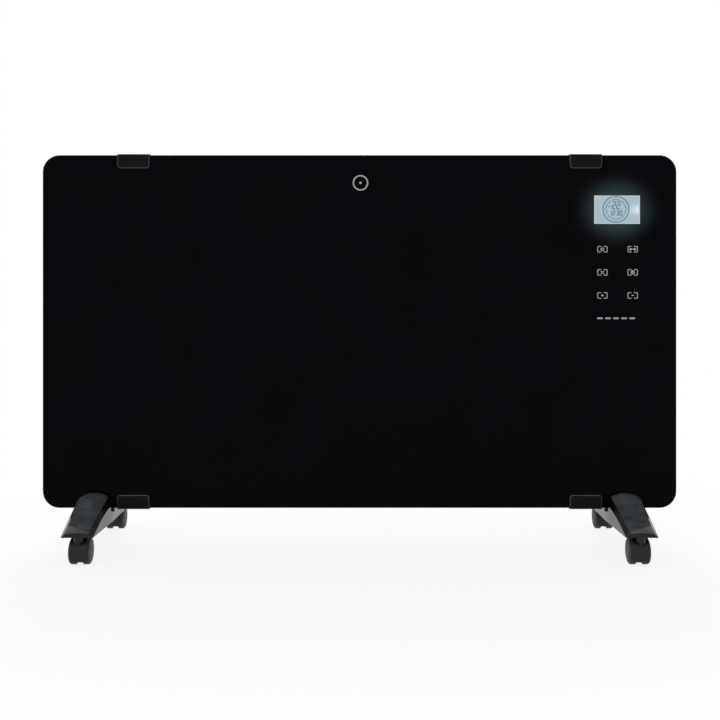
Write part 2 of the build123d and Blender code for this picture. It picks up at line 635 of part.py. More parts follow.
def cable_gland():
    """A flanged bush with a clamping dome outside, a shank through the cap and a nut inside."""
    cap_x = CAP_OUTER_X
    flange_x = (cap_x, cap_x + GLAND_FLANGE_THICKNESS)
    dome_x = (flange_x[1], flange_x[1] + GLAND_DOME_LENGTH)
    nut_x = (CAP_INNER_X - GLAND_NUT_THICKNESS, CAP_INNER_X)
    hexagon = Pos(DUCT_MID_Y, gland_z()) * RegularPolygon(GLAND_FLANGE_R, 6)
    dome = rod(dome_x, DUCT_MID_Y, gland_z(), GLAND_DOME_R)
    dome = fillet(dome.edges().group_by(Axis.X)[-1], 2.5)
    gland = side_plate(hexagon, flange_x) + dome
    gland += rod((nut_x[0] - 1, cap_x), DUCT_MID_Y, gland_z(), GLAND_SHANK_R)
    gland += side_plate(Pos(DUCT_MID_Y, gland_z()) * RegularPolygon(GLAND_NUT_R, 6), nut_x)
    return gland - rod((nut_x[0] - 2, dome_x[1] + 1), DUCT_MID_Y, gland_z(), GLAND_BORE_R)


def bay_middle_x():
    return DISPLAY_X


def power_board_y():
    """The two faces of the power board, on its standoffs."""
    back = INNER_BACK_Y - STANDOFF_LENGTH
    return (back - BOARD_THICKNESS, back)


def power_board():
    """A circuit board on four standoffs, with two relays, a transformer and a capacitor."""
    middle_x = bay_middle_x()
    middle_z = POWER_BOARD_Z + POWER_BOARD_HEIGHT / 2
    x = (middle_x - POWER_BOARD_WIDTH / 2, middle_x + POWER_BOARD_WIDTH / 2)
    z = (middle_z - POWER_BOARD_HEIGHT / 2, middle_z + POWER_BOARD_HEIGHT / 2)
    front = power_board_y()[0]
    board = block(x, power_board_y(), z)
    for standoff_x in (x[0] + STANDOFF_FROM_EDGE, x[1] - STANDOFF_FROM_EDGE):
        for standoff_z in (z[0] + STANDOFF_FROM_EDGE, z[1] - STANDOFF_FROM_EDGE):
            board += peg(standoff_x, (power_board_y()[1], INNER_BACK_Y), standoff_z, STANDOFF_R)
    for offset in RELAY_OFFSETS:
        board += board_case(RELAY_SIZE, middle_x + offset, front, z[1] - RELAY_FROM_TOP - RELAY_SIZE[2])
    board += board_case(TRANSFORMER_SIZE, middle_x + TRANSFORMER_OFFSET, front,
                        z[0] + TRANSFORMER_FROM_BOTTOM)
    board += peg(middle_x + CAPACITOR_OFFSET, (front - CAPACITOR_HEIGHT, front),
                 z[0] + CAPACITOR_FROM_BOTTOM, CAPACITOR_R)
    return board


def board_case(size, middle_x, front, z0):
    """The case of one component, on the front of the power board."""
    width, depth, height = size
    return block((middle_x - width / 2, middle_x + width / 2), (front - depth, front), (z0, z0 + height))


def terminal_block():
    """A three-way block for the mains leads, on the back wall, with its clamp screws."""
    width, depth, height = TERMINAL_BLOCK_SIZE
    middle_x = bay_middle_x()
    z0 = TERMINAL_BLOCK_Z
    body = block((middle_x - width / 2, middle_x + width / 2), (INNER_BACK_Y - depth, INNER_BACK_Y),
                 (z0, z0 + height))
    pitch = width / 3
    for i in (-1, 0, 1):
        for z in (z0 + 6, z0 + height - 6):
            body -= peg(middle_x + i * pitch, (INNER_BACK_Y - depth, INNER_BACK_Y - depth + 5), z, 2.6)
    return body


def tilt_switch():
    """A small case on the back wall that opens the circuit when the heater falls over."""
    width, depth, height = TILT_SWITCH_SIZE
    z0 = CASING_BOTTOM_Z + TILT_SWITCH_RISE
    case = block((TILT_SWITCH_X - width / 2, TILT_SWITCH_X + width / 2),
                 (INNER_BACK_Y - depth, INNER_BACK_Y), (z0, z0 + height))
    return fillet(case.edges().filter_by(Axis.Y), 1.5)


def thermal_cutout():
    """A disc thermostat on the partition, over the end of the right element."""
    z = CASING_BOTTOM_Z + CUTOUT_RISE
    side_x = PARTITION_X - SHIELD_THICKNESS
    flange = rod((side_x - 1, side_x), DUCT_MID_Y, z, CUTOUT_R + 3)
    return flange + rod((side_x - 1 - CUTOUT_THICKNESS, side_x - 1), DUCT_MID_Y, z, CUTOUT_R)


def temperature_sensor():
    """A sealed probe for the room's temperature, on the inside of the right end cap."""
    z0 = CASING_BOTTOM_Z + SENSOR_RISE
    x = CAP_INNER_X - SENSOR_R
    probe = post(x, DUCT_MID_Y, SENSOR_R, (z0, z0 + SENSOR_LENGTH))
    return fillet(probe.edges().group_by(Axis.Z)[0], SENSOR_R * 0.8)


def control_box_x():
    return (DISPLAY_X - CONTROL_BOX_WIDTH / 2, DISPLAY_X + CONTROL_BOX_WIDTH / 2)


def control_box_z():
    top = DISPLAY_Z + DISPLAY_HEIGHT / 2 + CONTROL_BOX_TOP_MARGIN
    return (CONTROL_BOX_BOTTOM_Z, top)


def control_box():
    """A moulded tray on the back of the glass, open towards it."""
    y = (GLASS_THICKNESS, GLASS_THICKNESS + CONTROL_BOX_DEPTH)
    x = control_box_x()
    z = control_box_z()
    wall = CONTROL_BOX_WALL
    tray = block(x, y, z) - block((x[0] + wall, x[1] - wall), (y[0] - 1, y[1] - wall),
                                  (z[0] + wall, z[1] - wall))
    for post_x in (x[0] + wall + 3, x[1] - wall - 3):
        for post_z in (z[0] + wall + 3, z[1] - wall - 3):
            tray += peg(post_x, (y[1] - BOARD_TO_BOX, y[1] - wall), post_z, 3.0)
    return tray


def touch_board_y():
    """The two faces of the touch board, on the posts of the control box."""
    back = GLASS_THICKNESS + CONTROL_BOX_DEPTH - BOARD_TO_BOX
    return (back - BOARD_THICKNESS, back)


def display_module():
    """The liquid crystal cell, against the back of the glass."""
    y = (GLASS_THICKNESS, GLASS_THICKNESS + DISPLAY_THICKNESS)
    return display_block(y)


def display_block(y):
    return block((DISPLAY_X - DISPLAY_WIDTH / 2, DISPLAY_X + DISPLAY_WIDTH / 2), y,
                 (DISPLAY_Z - DISPLAY_HEIGHT / 2, DISPLAY_Z + DISPLAY_HEIGHT / 2))


def display_backlight():
    """The light guide behind the display, with two pins down to the touch board."""
    front = GLASS_THICKNESS + DISPLAY_THICKNESS
    guide = display_block((front, front + BACKLIGHT_THICKNESS))
    for x in (-DISPLAY_WIDTH / 2 + 6, DISPLAY_WIDTH / 2 - 6):
        guide += peg(DISPLAY_X + x, (front + BACKLIGHT_THICKNESS, touch_board_y()[0]), DISPLAY_Z, 2.0)
    return guide


def touch_board():
    x = control_box_x()
    z = control_box_z()
    gap = CONTROL_BOX_WALL + 0.5
    return block((x[0] + gap, x[1] - gap), touch_board_y(), (z[0] + gap, z[1] - gap))


def touch_springs():
    """Contact springs that carry each touch mark from the glass to the touch board."""
    springs = []
    y = (GLASS_THICKNESS, touch_board_y()[0])
    for x in TOUCH_COLUMNS:
        for drop in TOUCH_DROPS:
            z = GLASS_TOP_Z - drop
            springs.append(peg(x, y, z, TOUCH_SPRING_R) - peg(x, y, z, TOUCH_SPRING_R - TOUCH_SPRING_WALL))
    return springs


# Leads that are held inside from end to end

LOW_WIRE_Y = INNER_BACK_Y - 8
LOW_WIRE_Z = CASING_BOTTOM_Z + 12


def wire(points, bend_r):
    """A lead of round section along straight runs with round bends."""
    path = FilletPolyline(*points, radius=bend_r)
    start = path @ 0
    return sweep(Plane(start, z_dir=path % 0) * Circle(WIRE_R), path=path)


def board_leads():
    """Two leads from the terminal block up to the front of the power board."""
    block_top = TERMINAL_BLOCK_Z + TERMINAL_BLOCK_SIZE[2]
    block_y = INNER_BACK_Y - TERMINAL_BLOCK_SIZE[1] / 2
    entry_z = POWER_BOARD_Z + 9
    front = power_board_y()[0]
    leads = []
    for offset in (-1, 1):
        x = bay_middle_x() + offset * TERMINAL_BLOCK_SIZE[0] / 3
        leads.append(wire([(x, block_y, block_top), (x, block_y, block_top + 14), (x, front - 3, entry_z - 17),
                           (x, front - 3, entry_z), (x, front, entry_z)], 2.6))
    return leads


def switch_leads():
    """Two leads from the underside of the terminal block to the tabs of the switch."""
    x = bay_middle_x()
    right_x = x + TERMINAL_BLOCK_SIZE[0] / 3
    block_bottom = TERMINAL_BLOCK_Z
    block_y = INNER_BACK_Y - TERMINAL_BLOCK_SIZE[1] / 2
    tab_x = CAP_OUTER_X - SWITCH_DEPTH - SWITCH_TAB_LENGTH / 2
    tab_half = SWITCH_TAB_THICKNESS / 2
    low_tab = (tab_x, DUCT_MID_Y, switch_z() - SWITCH_TAB_OFFSET - tab_half)
    high_tab = (tab_x, DUCT_MID_Y, switch_z() + SWITCH_TAB_OFFSET + tab_half)
    low_z = block_bottom - 15
    lower_z = block_bottom - 21
    over_z = high_tab[2] + 10
    side_x = x + 13
    side_y = DUCT_MID_Y - 7
    first = wire([(right_x, block_y, block_bottom), (right_x, block_y, low_z),
                  (tab_x, DUCT_MID_Y, low_z), low_tab], 6.0)
    second = wire([(x, block_y, block_bottom), (x, block_y, lower_z), (side_x, side_y, lower_z),
                   (side_x, side_y, over_z), (tab_x, DUCT_MID_Y, over_z), high_tab], 4.5)
    return [first, second]


def element_leads():
    """A lead from the power board to the right element, and a long one to the left element."""
    board_x = bay_middle_x() - POWER_BOARD_WIDTH / 2
    board_y = sum(power_board_y()) / 2
    entry_z = POWER_BOARD_Z + 17
    bay_x = PARTITION_X + 17
    right_pin_x = element_x_ranges()[1][1] + ELEMENT_PIN_LENGTH
    left_pin_x = element_x_ranges()[0][0] - ELEMENT_PIN_LENGTH
    near = wire([(right_pin_x, DUCT_MID_Y, ELEMENT_Z), (bay_x, DUCT_MID_Y, ELEMENT_Z),
                 (bay_x, board_y, entry_z), (board_x, board_y, entry_z)], 8.0)
    down_x = PARTITION_X + 7
    far_x = left_pin_x - 12
    far = wire([(board_x, LOW_WIRE_Y + 1, entry_z + 14), (down_x, LOW_WIRE_Y, entry_z + 14),
                (down_x, LOW_WIRE_Y, LOW_WIRE_Z), (far_x, LOW_WIRE_Y, LOW_WIRE_Z),
                (far_x, DUCT_MID_Y, LOW_WIRE_Z + 45), (far_x, DUCT_MID_Y, ELEMENT_Z),
                (left_pin_x, DUCT_MID_Y, ELEMENT_Z)], 6.0)
    return [near, far]


def display_leads():
    """Three leads from the top of the power board to the back of the control box."""
    board_top = POWER_BOARD_Z + POWER_BOARD_HEIGHT
    board_y = sum(power_board_y()) / 2
    box_back = GLASS_THICKNESS + CONTROL_BOX_DEPTH
    entry_z = control_box_z()[0] + 20
    leads = []
    for offset in (-6, 0, 6):
        x = bay_middle_x() + offset
        leads.append(wire([(x, board_y, board_top), (x, board_y, entry_z), (x, box_back, entry_z)], 9.0))
    return leads


def wiring_harness():
    return board_leads() + switch_leads() + element_leads() + display_leads()


# Feet

def arm_shape(share):
    """The sizes of an arm's cross-section at a share of its length from the tip."""
    for low, high in zip(ARM_STATIONS, ARM_STATIONS[1:]):
        if share <= high[0]:
            part = (share - low[0]) / (high[0] - low[0])
            return [a + (b - a) * part for a, b in zip(low[1:], high[1:])]
    return list(ARM_STATIONS[-1][1:])


def arm_section(y, share, wall):
    """The cross-section at y: flat base, upright sides, a bevel on each side and an arched crown.

    With a wall it is the section of the hollow inside, which runs out through the base.
    """
    half, crease, crown_half, edge, crown = arm_shape(share)
    base = FOOT_BASE_Z - (1.0 if wall else 0.0)
    side = half - wall
    shoulder = (crown_half - wall * 0.7, FOOT_BASE_Z + edge - wall)
    crease_z = FOOT_BASE_Z + crease - wall * 0.5
    outline = Polyline((-shoulder[0], shoulder[1]), (-side, crease_z), (-side, base), (side, base),
                       (side, crease_z), shoulder)
    outline += ThreePointArc(shoulder, (0, FOOT_BASE_Z + crown - wall), (-shoulder[0], shoulder[1]))
    return Plane((0, y, 0), x_dir=(1, 0, 0), z_dir=(0, -1, 0)) * make_face(outline)


def foot_arm(tip_y, root_y, wall=0.0, solid_tip=0.0):
    """An arm of the foot from its tip to the casing, or the hollow inside it."""
    length = root_y - tip_y
    shares = [station[0] for station in ARM_STATIONS]
    if solid_tip:
        first = solid_tip / abs(length)
        shares = [first] + [share for share in shares if share > first + 0.05]
    return loft([arm_section(tip_y + length * share, share, wall) for share in shares])


def foot_saddle(wall=0.0):
    """The stretch of the foot under the glass and the casing, at full height."""
    section = arm_section(SLOT_FRONT_Y, 1.0, wall)
    return extrude(section, SLOT_FRONT_Y - SLOT_BACK_Y)


def foot_bosses_y():
    """Where the base of the foot is screwed up into it."""
    return (FOOT_FRONT_Y + FOOT_BOSS_FROM_TIP, SLOT_FRONT_Y - FOOT_BOSS_FROM_SLOT,
            SLOT_BACK_Y + FOOT_BOSS_FROM_SLOT, FOOT_REAR_Y - FOOT_BOSS_FROM_REAR)


def foot():
    """The moulded foot at X = 0: two hollow arms, a saddle for the glass and the casing."""
    outer = foot_arm(FOOT_FRONT_Y, SLOT_FRONT_Y) + foot_saddle() + foot_arm(FOOT_REAR_Y, SLOT_BACK_Y)
    hollow = foot_arm(FOOT_FRONT_Y, SLOT_FRONT_Y, FOOT_WALL, FOOT_SOLID_TIP)
    hollow += foot_saddle(FOOT_WALL)
    hollow += foot_arm(FOOT_REAR_Y, SLOT_BACK_Y, FOOT_WALL, FOOT_SOLID_TIP)
    wide = (-60, 60)
    high = FOOT_BASE_Z + 60
    glass_floor = GLASS_BOTTOM_Z - FOOT_GLASS_GAP
    step_y = CASING_FRONT_Y
    hollow -= block(wide, (SLOT_FRONT_Y - FOOT_WALL, step_y + FOOT_WALL), (glass_floor - FOOT_WALL, high))
    hollow -= block(wide, (step_y, SLOT_BACK_Y + FOOT_WALL), (CASING_BOTTOM_Z - FOOT_WALL, high))
    body = outer - hollow
    body -= block(wide, (SLOT_FRONT_Y, step_y), (glass_floor, high))
    body -= block(wide, (step_y - 0.1, SLOT_BACK_Y), (CASING_BOTTOM_Z, high))
    base_top = FOOT_BASE_Z + FOOT_BASE_THICKNESS
    for y in foot_bosses_y():
        body += post(0, y, FOOT_BOSS_R, (base_top, high)) & outer
        body -= post(0, y, SCREW_D / 2 + HOLDING_FIT, (base_top, base_top + 8))
    for y in (STEM_Y_FRONT, STEM_Y_REAR):
        body -= post(0, y, SOCKET_R + HOLDING_FIT, (FOOT_BASE_Z - 1, FOOT_BASE_Z + SOCKET_DEPTH))
    for x, y in foot_screw_places(0):
        body -= post(x, y, SCREW_D / 2 + SCREW_FIT, (CASING_BOTTOM_Z - 10, CASING_BOTTOM_Z + 1))
    half = ARM_STATIONS[-1][1]
    width, length, height = FOOT_TOOTH
    body += block((-half - width, -half + 1), (0, length), (glass_floor - height, glass_floor))
    body += block((half - 1, half + width), (0, length), (glass_floor - height, glass_floor))
    return body


def foot_base():
    """The plate that closes the foot from below, with a sunk hole for each screw."""
    stations = []
    inner = FOOT_WALL + FOOT_BASE_GAP
    ends = ((FOOT_FRONT_Y, SLOT_FRONT_Y), (FOOT_REAR_Y, SLOT_BACK_Y))
    for tip, root in ends:
        length = root - tip
        first = (FOOT_SOLID_TIP + FOOT_BASE_GAP) / abs(length)
        for share in (first, ARM_STATIONS[2][0], 1.0):
            stations.append((tip + length * share, arm_shape(share)[0] - inner))
    stations.sort()
    right = [(half, y) for y, half in stations]
    left = [(-half, y) for y, half in reversed(stations)]
    plate = extrude(Pos(0, 0, FOOT_BASE_Z) * make_face(Polyline(*right, *left, close=True)),
                    FOOT_BASE_THICKNESS)
    for y in foot_bosses_y():
        plate -= post(0, y, SCREW_D / 2 + SCREW_FIT, (FOOT_BASE_Z - 1, FOOT_BASE_Z + FOOT_BASE_THICKNESS + 1))
        plate -= post(0, y, SCREW_HEAD_R + SCREW_FIT, (FOOT_BASE_Z - 1, FOOT_BASE_Z + SCREW_HEAD_HEIGHT))
    return plate


def foot_screws():
    """Screws through each base into its foot, and up through each saddle into the casing."""
    screws = []
    base_screw = Rot(180, 0, 0) * screw(8.0)
    for side in (-1, 1):
        for y in foot_bosses_y():
            screws.append(Pos(side * FOOT_X, y, FOOT_BASE_Z + SCREW_HEAD_HEIGHT) * base_screw)
        for x, y in foot_screw_places(side):
            screws.append(Pos(x, y, CASING_BOTTOM_Z - FOOT_WALL) * base_screw)
    return screws


# Castors

def castor_sockets():
    """Flanged bushes in the tips of the feet that hold the castor stems."""
    sockets = []
    for x, y in CASTORS.values():
        bush = post(x, y, SOCKET_R, (FOOT_BASE_Z, FOOT_BASE_Z + SOCKET_DEPTH))
        bush += post(x, y, SOCKET_FLANGE_R, (FOOT_BASE_Z - SOCKET_FLANGE_THICKNESS, FOOT_BASE_Z))
        top = FOOT_BASE_Z + SOCKET_DEPTH - 0.8
        sockets.append(bush - post(x, y, STEM_D / 2 + HOLDING_FIT, (FOOT_BASE_Z - 3, top)))
    return sockets


def stem_z():
    """The lowest and highest points of a castor's stem."""
    top = FOOT_BASE_Z + SOCKET_DEPTH - 1.0
    return (top - STEM_LENGTH, top)


def castor_stem():
    stem = post(0, 0, STEM_D / 2, stem_z())
    return chamfer(stem.edges().group_by(Axis.Z)[0], 0.5)


def castor_body():
    """The hood over both wheels, the web between them and the boss round the stem."""
    trail = CASTOR_TRAIL
    half_web = WHEEL_SPACING / 2 - WEB_WHEEL_GAP
    half_hood = HOOD_WIDTH / 2
    hood = rod((-half_hood, half_hood), trail, AXLE_Z, HOOD_OUTER_R)
    hood = fillet(hood.edges(), HOOD_THICKNESS * 0.8)
    hood -= rod((-half_hood - 1, half_hood + 1), trail, AXLE_Z, HOOD_INNER_R)
    web = rod((-half_web, half_web), trail, AXLE_Z, HOOD_OUTER_R - 0.5)
    body = hood + web
    far = HOOD_OUTER_R + 2
    body -= block((-far, far), (trail - far, trail + far), (AXLE_Z - far, HOOD_BOTTOM_Z))
    body -= block((-far, far), (trail + AXLE_D * 1.5, trail + far), (0, AXLE_Z + HOOD_REAR_LIFT))
    boss = Pos(0, 0, (STEM_BOSS_TIP_Z + CASTOR_TOP_Z) / 2) * Cone(
        STEM_BOSS_R * 0.35, STEM_BOSS_R, CASTOR_TOP_Z - STEM_BOSS_TIP_Z)
    neck = post(0, 0, STEM_BOSS_R, (CASTOR_TOP_Z - 5.5, CASTOR_TOP_Z))
    body += boss + neck
    body -= post(0, 0, STEM_D / 2 + RUNNING_FIT, (stem_z()[0] - RUNNING_FIT, CASTOR_TOP_Z + 1))
    return body - rod((-far, far), trail, AXLE_Z, AXLE_D / 2 + HOLDING_FIT)


def castor_axle():
    half = WHEEL_SPACING / 2 + AXLE_SEAT
    axle = rod((-half, half), CASTOR_TRAIL, AXLE_Z, AXLE_D / 2)
    return chamfer(axle.edges().filter_by(GeomType.CIRCLE), 0.3)


def castor_wheel(side):
    """A wheel with a rounded shoulder, a groove near its rim and a slightly domed face."""
    inner = WHEEL_SPACING / 2
    face = inner + WHEEL_WIDTH - WHEEL_DOME
    shoulder = WHEEL_SHOULDER_R
    lean = shoulder * (1 - math.sqrt(0.5))
    groove_r = WHEEL_R - shoulder - 0.6
    outline = Polyline((inner, 0), (inner, WHEEL_R - 0.8), (inner + 0.8, WHEEL_R), (face - shoulder, WHEEL_R))
    outline += ThreePointArc((face - shoulder, WHEEL_R), (face - lean, WHEEL_R - lean),
                             (face, WHEEL_R - shoulder))
    groove_inner_r = groove_r - WHEEL_GROOVE
    outline += Polyline((face, WHEEL_R - shoulder), (face, groove_r), (face - WHEEL_GROOVE, groove_r),
                        (face - WHEEL_GROOVE, groove_inner_r), (face, groove_inner_r))
    cap = (face + WHEEL_DOME, WHEEL_CAP_R)
    dome_middle = (face + WHEEL_DOME * 0.75, (groove_inner_r + WHEEL_CAP_R) / 2)
    outline += ThreePointArc((face, groove_inner_r), dome_middle, cap)
    outline += Polyline(cap, (cap[0], 0), (inner, 0))
    wheel = revolve(make_face(outline), Axis.X)
    seat = AXLE_SEAT + RUNNING_FIT * 4
    wheel -= rod((inner - 1, inner + seat), 0, 0, AXLE_D / 2 + RUNNING_FIT)
    wheel = Pos(0, CASTOR_TRAIL, AXLE_Z) * wheel
    return wheel if side > 0 else mirror(wheel, Plane.YZ)


# Writing the pieces

def write(name, shape):
    """Write one node, moved so that the origin is under the middle of the heater."""
    solids = []
    for piece in shape if isinstance(shape, list) else [shape]:
        solids += list(piece.solids())
    moved = [Pos(0, -DEPTH_MIDDLE_Y, 0) * solid for solid in solids]
    export_step(moved[0] if len(moved) == 1 else Compound(children=moved), "parts/" + name + ".step")


def main():
    os.makedirs("parts", exist_ok=True)
    nodes = {
        "glass_panel": glass_panel(),
        "clip_top_left": clip_top(-CLIP_X),
        "clip_top_right": clip_top(CLIP_X),
        "clip_bottom_left": upside_down(clip_top(-CLIP_X)),
        "clip_bottom_right": upside_down(clip_top(CLIP_X)),
        "clip_pads": clip_pads(),
        "clip_screws": clip_screws(),
        "rear_casing": rear_casing(),
        "end_cap_left": end_cap(-1),
        "end_cap_right": end_cap(1),
        "casing_screws": casing_screws(),
        "top_grille": top_grille(),
        "bottom_grille": upside_down(top_grille()),
        "front_heat_shield": front_heat_shield(),
        "heating_element_left": heating_element(element_x_ranges()[0]),
        "heating_element_right": heating_element(element_x_ranges()[1]),
        "element_insulators": element_insulators(),
        "element_brackets": element_brackets(),
        "switch_housing": switch_housing(),
        "switch_rocker": switch_rocker(),
        "cable_gland": cable_gland(),
        "power_board": power_board(),
        "terminal_block": terminal_block(),
        "tilt_switch": tilt_switch(),
        "thermal_cutout": thermal_cutout(),
        "temperature_sensor": temperature_sensor(),
        "control_box": control_box(),
        "display_module": display_module(),
        "display_backlight": display_backlight(),
        "touch_board": touch_board(),
        "touch_springs": touch_springs(),
        "wiring_harness": wiring_harness(),
        "castor_sockets": castor_sockets(),
        "foot_screws": foot_screws(),
    }
    for side, name in ((-1, "left"), (1, "right")):
        nodes["foot_" + name] = Pos(side * FOOT_X, 0, 0) * foot()
        nodes["foot_base_" + name] = Pos(side * FOOT_X, 0, 0) * foot_base()
    for name, (x, y) in CASTORS.items():
        inner_side = -1 if x > 0 else 1
        place = Pos(x, y, 0)
        nodes["castor_" + name + "_body"] = place * castor_body()
        nodes["castor_" + name + "_stem"] = place * castor_stem()
        nodes["castor_" + name + "_axle"] = place * castor_axle()
        nodes["castor_" + name + "_wheel_inner"] = place * castor_wheel(inner_side)
        nodes["castor_" + name + "_wheel_outer"] = place * castor_wheel(-inner_side)
    for name, shape in nodes.items():
        write(name, shape)


main()
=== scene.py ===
"""Looks of the convector heater: finishes for its parts, the marks on its glass, and the studio.

Metres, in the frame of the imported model: +Z up, the glass faces -Y, the floor is at Z = 0.
"""
import math

import bmesh
import bpy
from bpy.props import FloatProperty, FloatVectorProperty, IntProperty, PointerProperty
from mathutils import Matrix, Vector


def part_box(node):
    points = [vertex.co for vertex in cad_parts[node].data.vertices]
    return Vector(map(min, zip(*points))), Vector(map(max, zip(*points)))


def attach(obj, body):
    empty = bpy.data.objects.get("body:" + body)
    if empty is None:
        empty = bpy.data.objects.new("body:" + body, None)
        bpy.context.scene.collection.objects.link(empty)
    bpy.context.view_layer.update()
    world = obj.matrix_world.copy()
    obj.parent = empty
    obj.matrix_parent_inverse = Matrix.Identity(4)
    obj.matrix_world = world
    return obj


bl_info = {
    "name": "Convector heater looks",
    "version": (1, 0, 0),
    "blender": (4, 5, 0),
    "location": "3D View > Sidebar > Heater",
    "description": "Finishes, glass marks and studio for the convector heater",
    "category": "Object",
}

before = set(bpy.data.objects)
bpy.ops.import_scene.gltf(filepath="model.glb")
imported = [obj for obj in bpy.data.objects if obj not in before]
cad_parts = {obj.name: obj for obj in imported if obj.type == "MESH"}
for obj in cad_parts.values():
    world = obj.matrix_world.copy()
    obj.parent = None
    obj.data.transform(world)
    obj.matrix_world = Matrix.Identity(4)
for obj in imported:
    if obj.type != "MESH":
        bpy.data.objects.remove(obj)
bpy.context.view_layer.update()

MM = 0.001
GLASS_LOW, GLASS_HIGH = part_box("glass_panel")
CELL_LOW, CELL_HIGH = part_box("display_module")
SPRINGS_LOW, SPRINGS_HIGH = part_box("touch_springs")
BOARD_LOW, BOARD_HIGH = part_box("power_board")
CELL_MIDDLE = (CELL_LOW + CELL_HIGH) / 2
SPRING_RADIUS = 4 * MM

BODY = "heater"
CASTORS = ("front_left", "front_right", "rear_left", "rear_right")
WHEELS = ("wheel_inner", "wheel_outer")

# Sockets of the Mix node when it mixes colours
MIX_FACTOR = 0
MIX_A = 6
MIX_B = 7
MIX_RESULT = 2

# Steps of the arcs that the marks are drawn with
ARC_STEPS = 10
CIRCLE_STEPS = 72

# Lines and dots of the marks printed on the glass
ICON_LINE = 0.85 * MM
BRACKET_CORNER = 1.1 * MM
RING_LINE = 1.8 * MM
RING_DOT_RADIUS = 1.6 * MM

# Dashes under the touch marks
DASH_PITCH = 10.6 * MM
DASH_LENGTH = 7.4 * MM
DASH_LINE = 2.2 * MM
DASH_CORNER = 0.9 * MM

# The display's dial: its ticks, each with the degrees that it reaches to either side, and its dots
DIAL_TICKS = 24
SHORT_TICK = 3.0
LONG_TICK = 5.4
TICK_LINE = 1.3 * MM
DIAL_DOT_PLACE = 15.1 * MM
DIAL_DOT_RADIUS = 0.75 * MM
SCREEN_RIM = 1.2 * MM

# The display's digits, each with how far right of the dial's middle it stands, in millimetres
LARGE_DIGIT = {"width": 4.2 * MM, "height": 9.2 * MM, "line": 1.25 * MM}
LARGE_DIGITS = (("2", -2.6), ("2", 3.0))
SMALL_DIGIT = {"width": 2.8 * MM, "height": 6.2 * MM, "line": 1.05 * MM}
SMALL_DIGITS = (("1", -7.2), ("2", -2.9), ("3", 2.3), ("0", 6.6))

# Segments of a seven-segment digit, each from one corner to another. A corner is given in half
# widths and half heights of the digit.
SEGMENTS = {
    "top": ((-1, 1), (1, 1)),
    "upper_left": ((-1, 0), (-1, 1)),
    "upper_right": ((1, 0), (1, 1)),
    "middle": ((-1, 0), (1, 0)),
    "lower_left": ((-1, -1), (-1, 0)),
    "lower_right": ((1, -1), (1, 0)),
    "bottom": ((-1, -1), (1, -1)),
}
DIGITS = {
    "0": ("top", "upper_left", "upper_right", "lower_left", "lower_right", "bottom"),
    "1": ("upper_right", "lower_right"),
    "2": ("top", "upper_right", "middle", "lower_left", "bottom"),
    "3": ("top", "upper_right", "middle", "lower_right", "bottom"),
}


def linear(hex_colour):
    """The linear colour, with alpha, of an sRGB hex value."""
    parts = [int(hex_colour[i:i + 2], 16) / 255 for i in (1, 3, 5)]
    return (*(p / 12.92 if p <= 0.04045 else ((p + 0.055) / 1.055) ** 2.4 for p in parts), 1.0)


def colour_property(name, description, hex_colour):
    return FloatVectorProperty(name=name, description=description, subtype="COLOR", size=4,
                               min=0.0, max=1.0, default=linear(hex_colour))


def length_property(name, description, millimetres):
    return FloatProperty(name=name, description=description, default=millimetres * MM, min=0.0,
                         subtype="DISTANCE", unit="LENGTH", precision=4)


class HeaterSizes(bpy.types.PropertyGroup):
    """Sizes of the marks on the glass."""
    screen_width: length_property("Screen width", "Width of the lit window", 59.8)
    screen_height: length_property("Screen height", "Height of the lit window", 37.0)
    screen_thickness: length_property("Screen thickness", "How far the window stands proud", 0.12)
    dial_radius: length_property("Dial radius", "Middle radius of the dial's outer ring", 17.0)
    dial_line: length_property("Dial line", "Width of the dial's outer ring", 1.1)
    tick_radius: length_property("Tick radius", "Radius of the dial's ring of ticks", 12.8)
    mark_width: length_property("Mark width", "Width of the bracket round a touch mark", 13.5)
    mark_height: length_property("Mark height", "Height of the bracket round a touch mark", 8.4)
    mark_line: length_property("Mark line", "Width of the lines of a touch mark", 1.05)
    mark_gap: length_property("Mark gap", "Gap at the top and bottom of a bracket", 3.4)
    ink_thickness: length_property("Ink thickness", "Thickness of the printed marks", 0.06)
    lamp_ring_radius: length_property("Ring radius", "Radius of the ring at the top middle", 9.3)
    level_marks: IntProperty(name="Level marks", description="Dashes under the touch marks",
                             default=5, min=1, max=9)


class HeaterColours(bpy.types.PropertyGroup):
    """Colours of the finishes that show most, and of the painted sheen on clips, feet and glass edges.
    """
    glass: colour_property("Glass", "Paint behind the glass front", "#030407")
    # The glass's own green-grey edge tint, made paler by a painted highlight
    glass_edge_tint_and_highlight: colour_property("Glass edge", "Ground and polished edge of the glass", "#2A3232")
    glow: colour_property("Glow", "Light that spills round the screen", "#2F3B3E")
    clips: colour_property("Clips", "Moulded clips that hold the glass", "#0A0D0F")
    # Painted highlight: the paler colour given to the clips' bevels
    clip_bevel_highlight: colour_property("Clip edges", "Rubbed bevels of the clips", "#4A4F52")
    casing: colour_property("Casing", "Powder coat of the steel casing", "#1A1A1C")
    feet: colour_property("Feet", "Polished plastic of the feet", "#08090A")
    # Painted sheen: the paler colour given to the tops of the feet
    foot_painted_sheen: colour_property("Foot haze", "Fine haze on top of the feet", "#404447")
    castors: colour_property("Castors", "Moulded castors", "#131416")
    ink: colour_property("Ink", "Brackets, ring and dashes printed on the glass", "#9DA0A2")
    icon_ink: colour_property("Icon ink", "Icons of the touch marks", "#C9CCCE")
    segments: colour_property("Segments", "Dark segments of the display", "#4E656F")
    screen: colour_property("Screen", "Lit background of the display", "#A4BBC6")
    floor: colour_property("Floor", "Studio floor", "#F6F6F6")


# Building materials

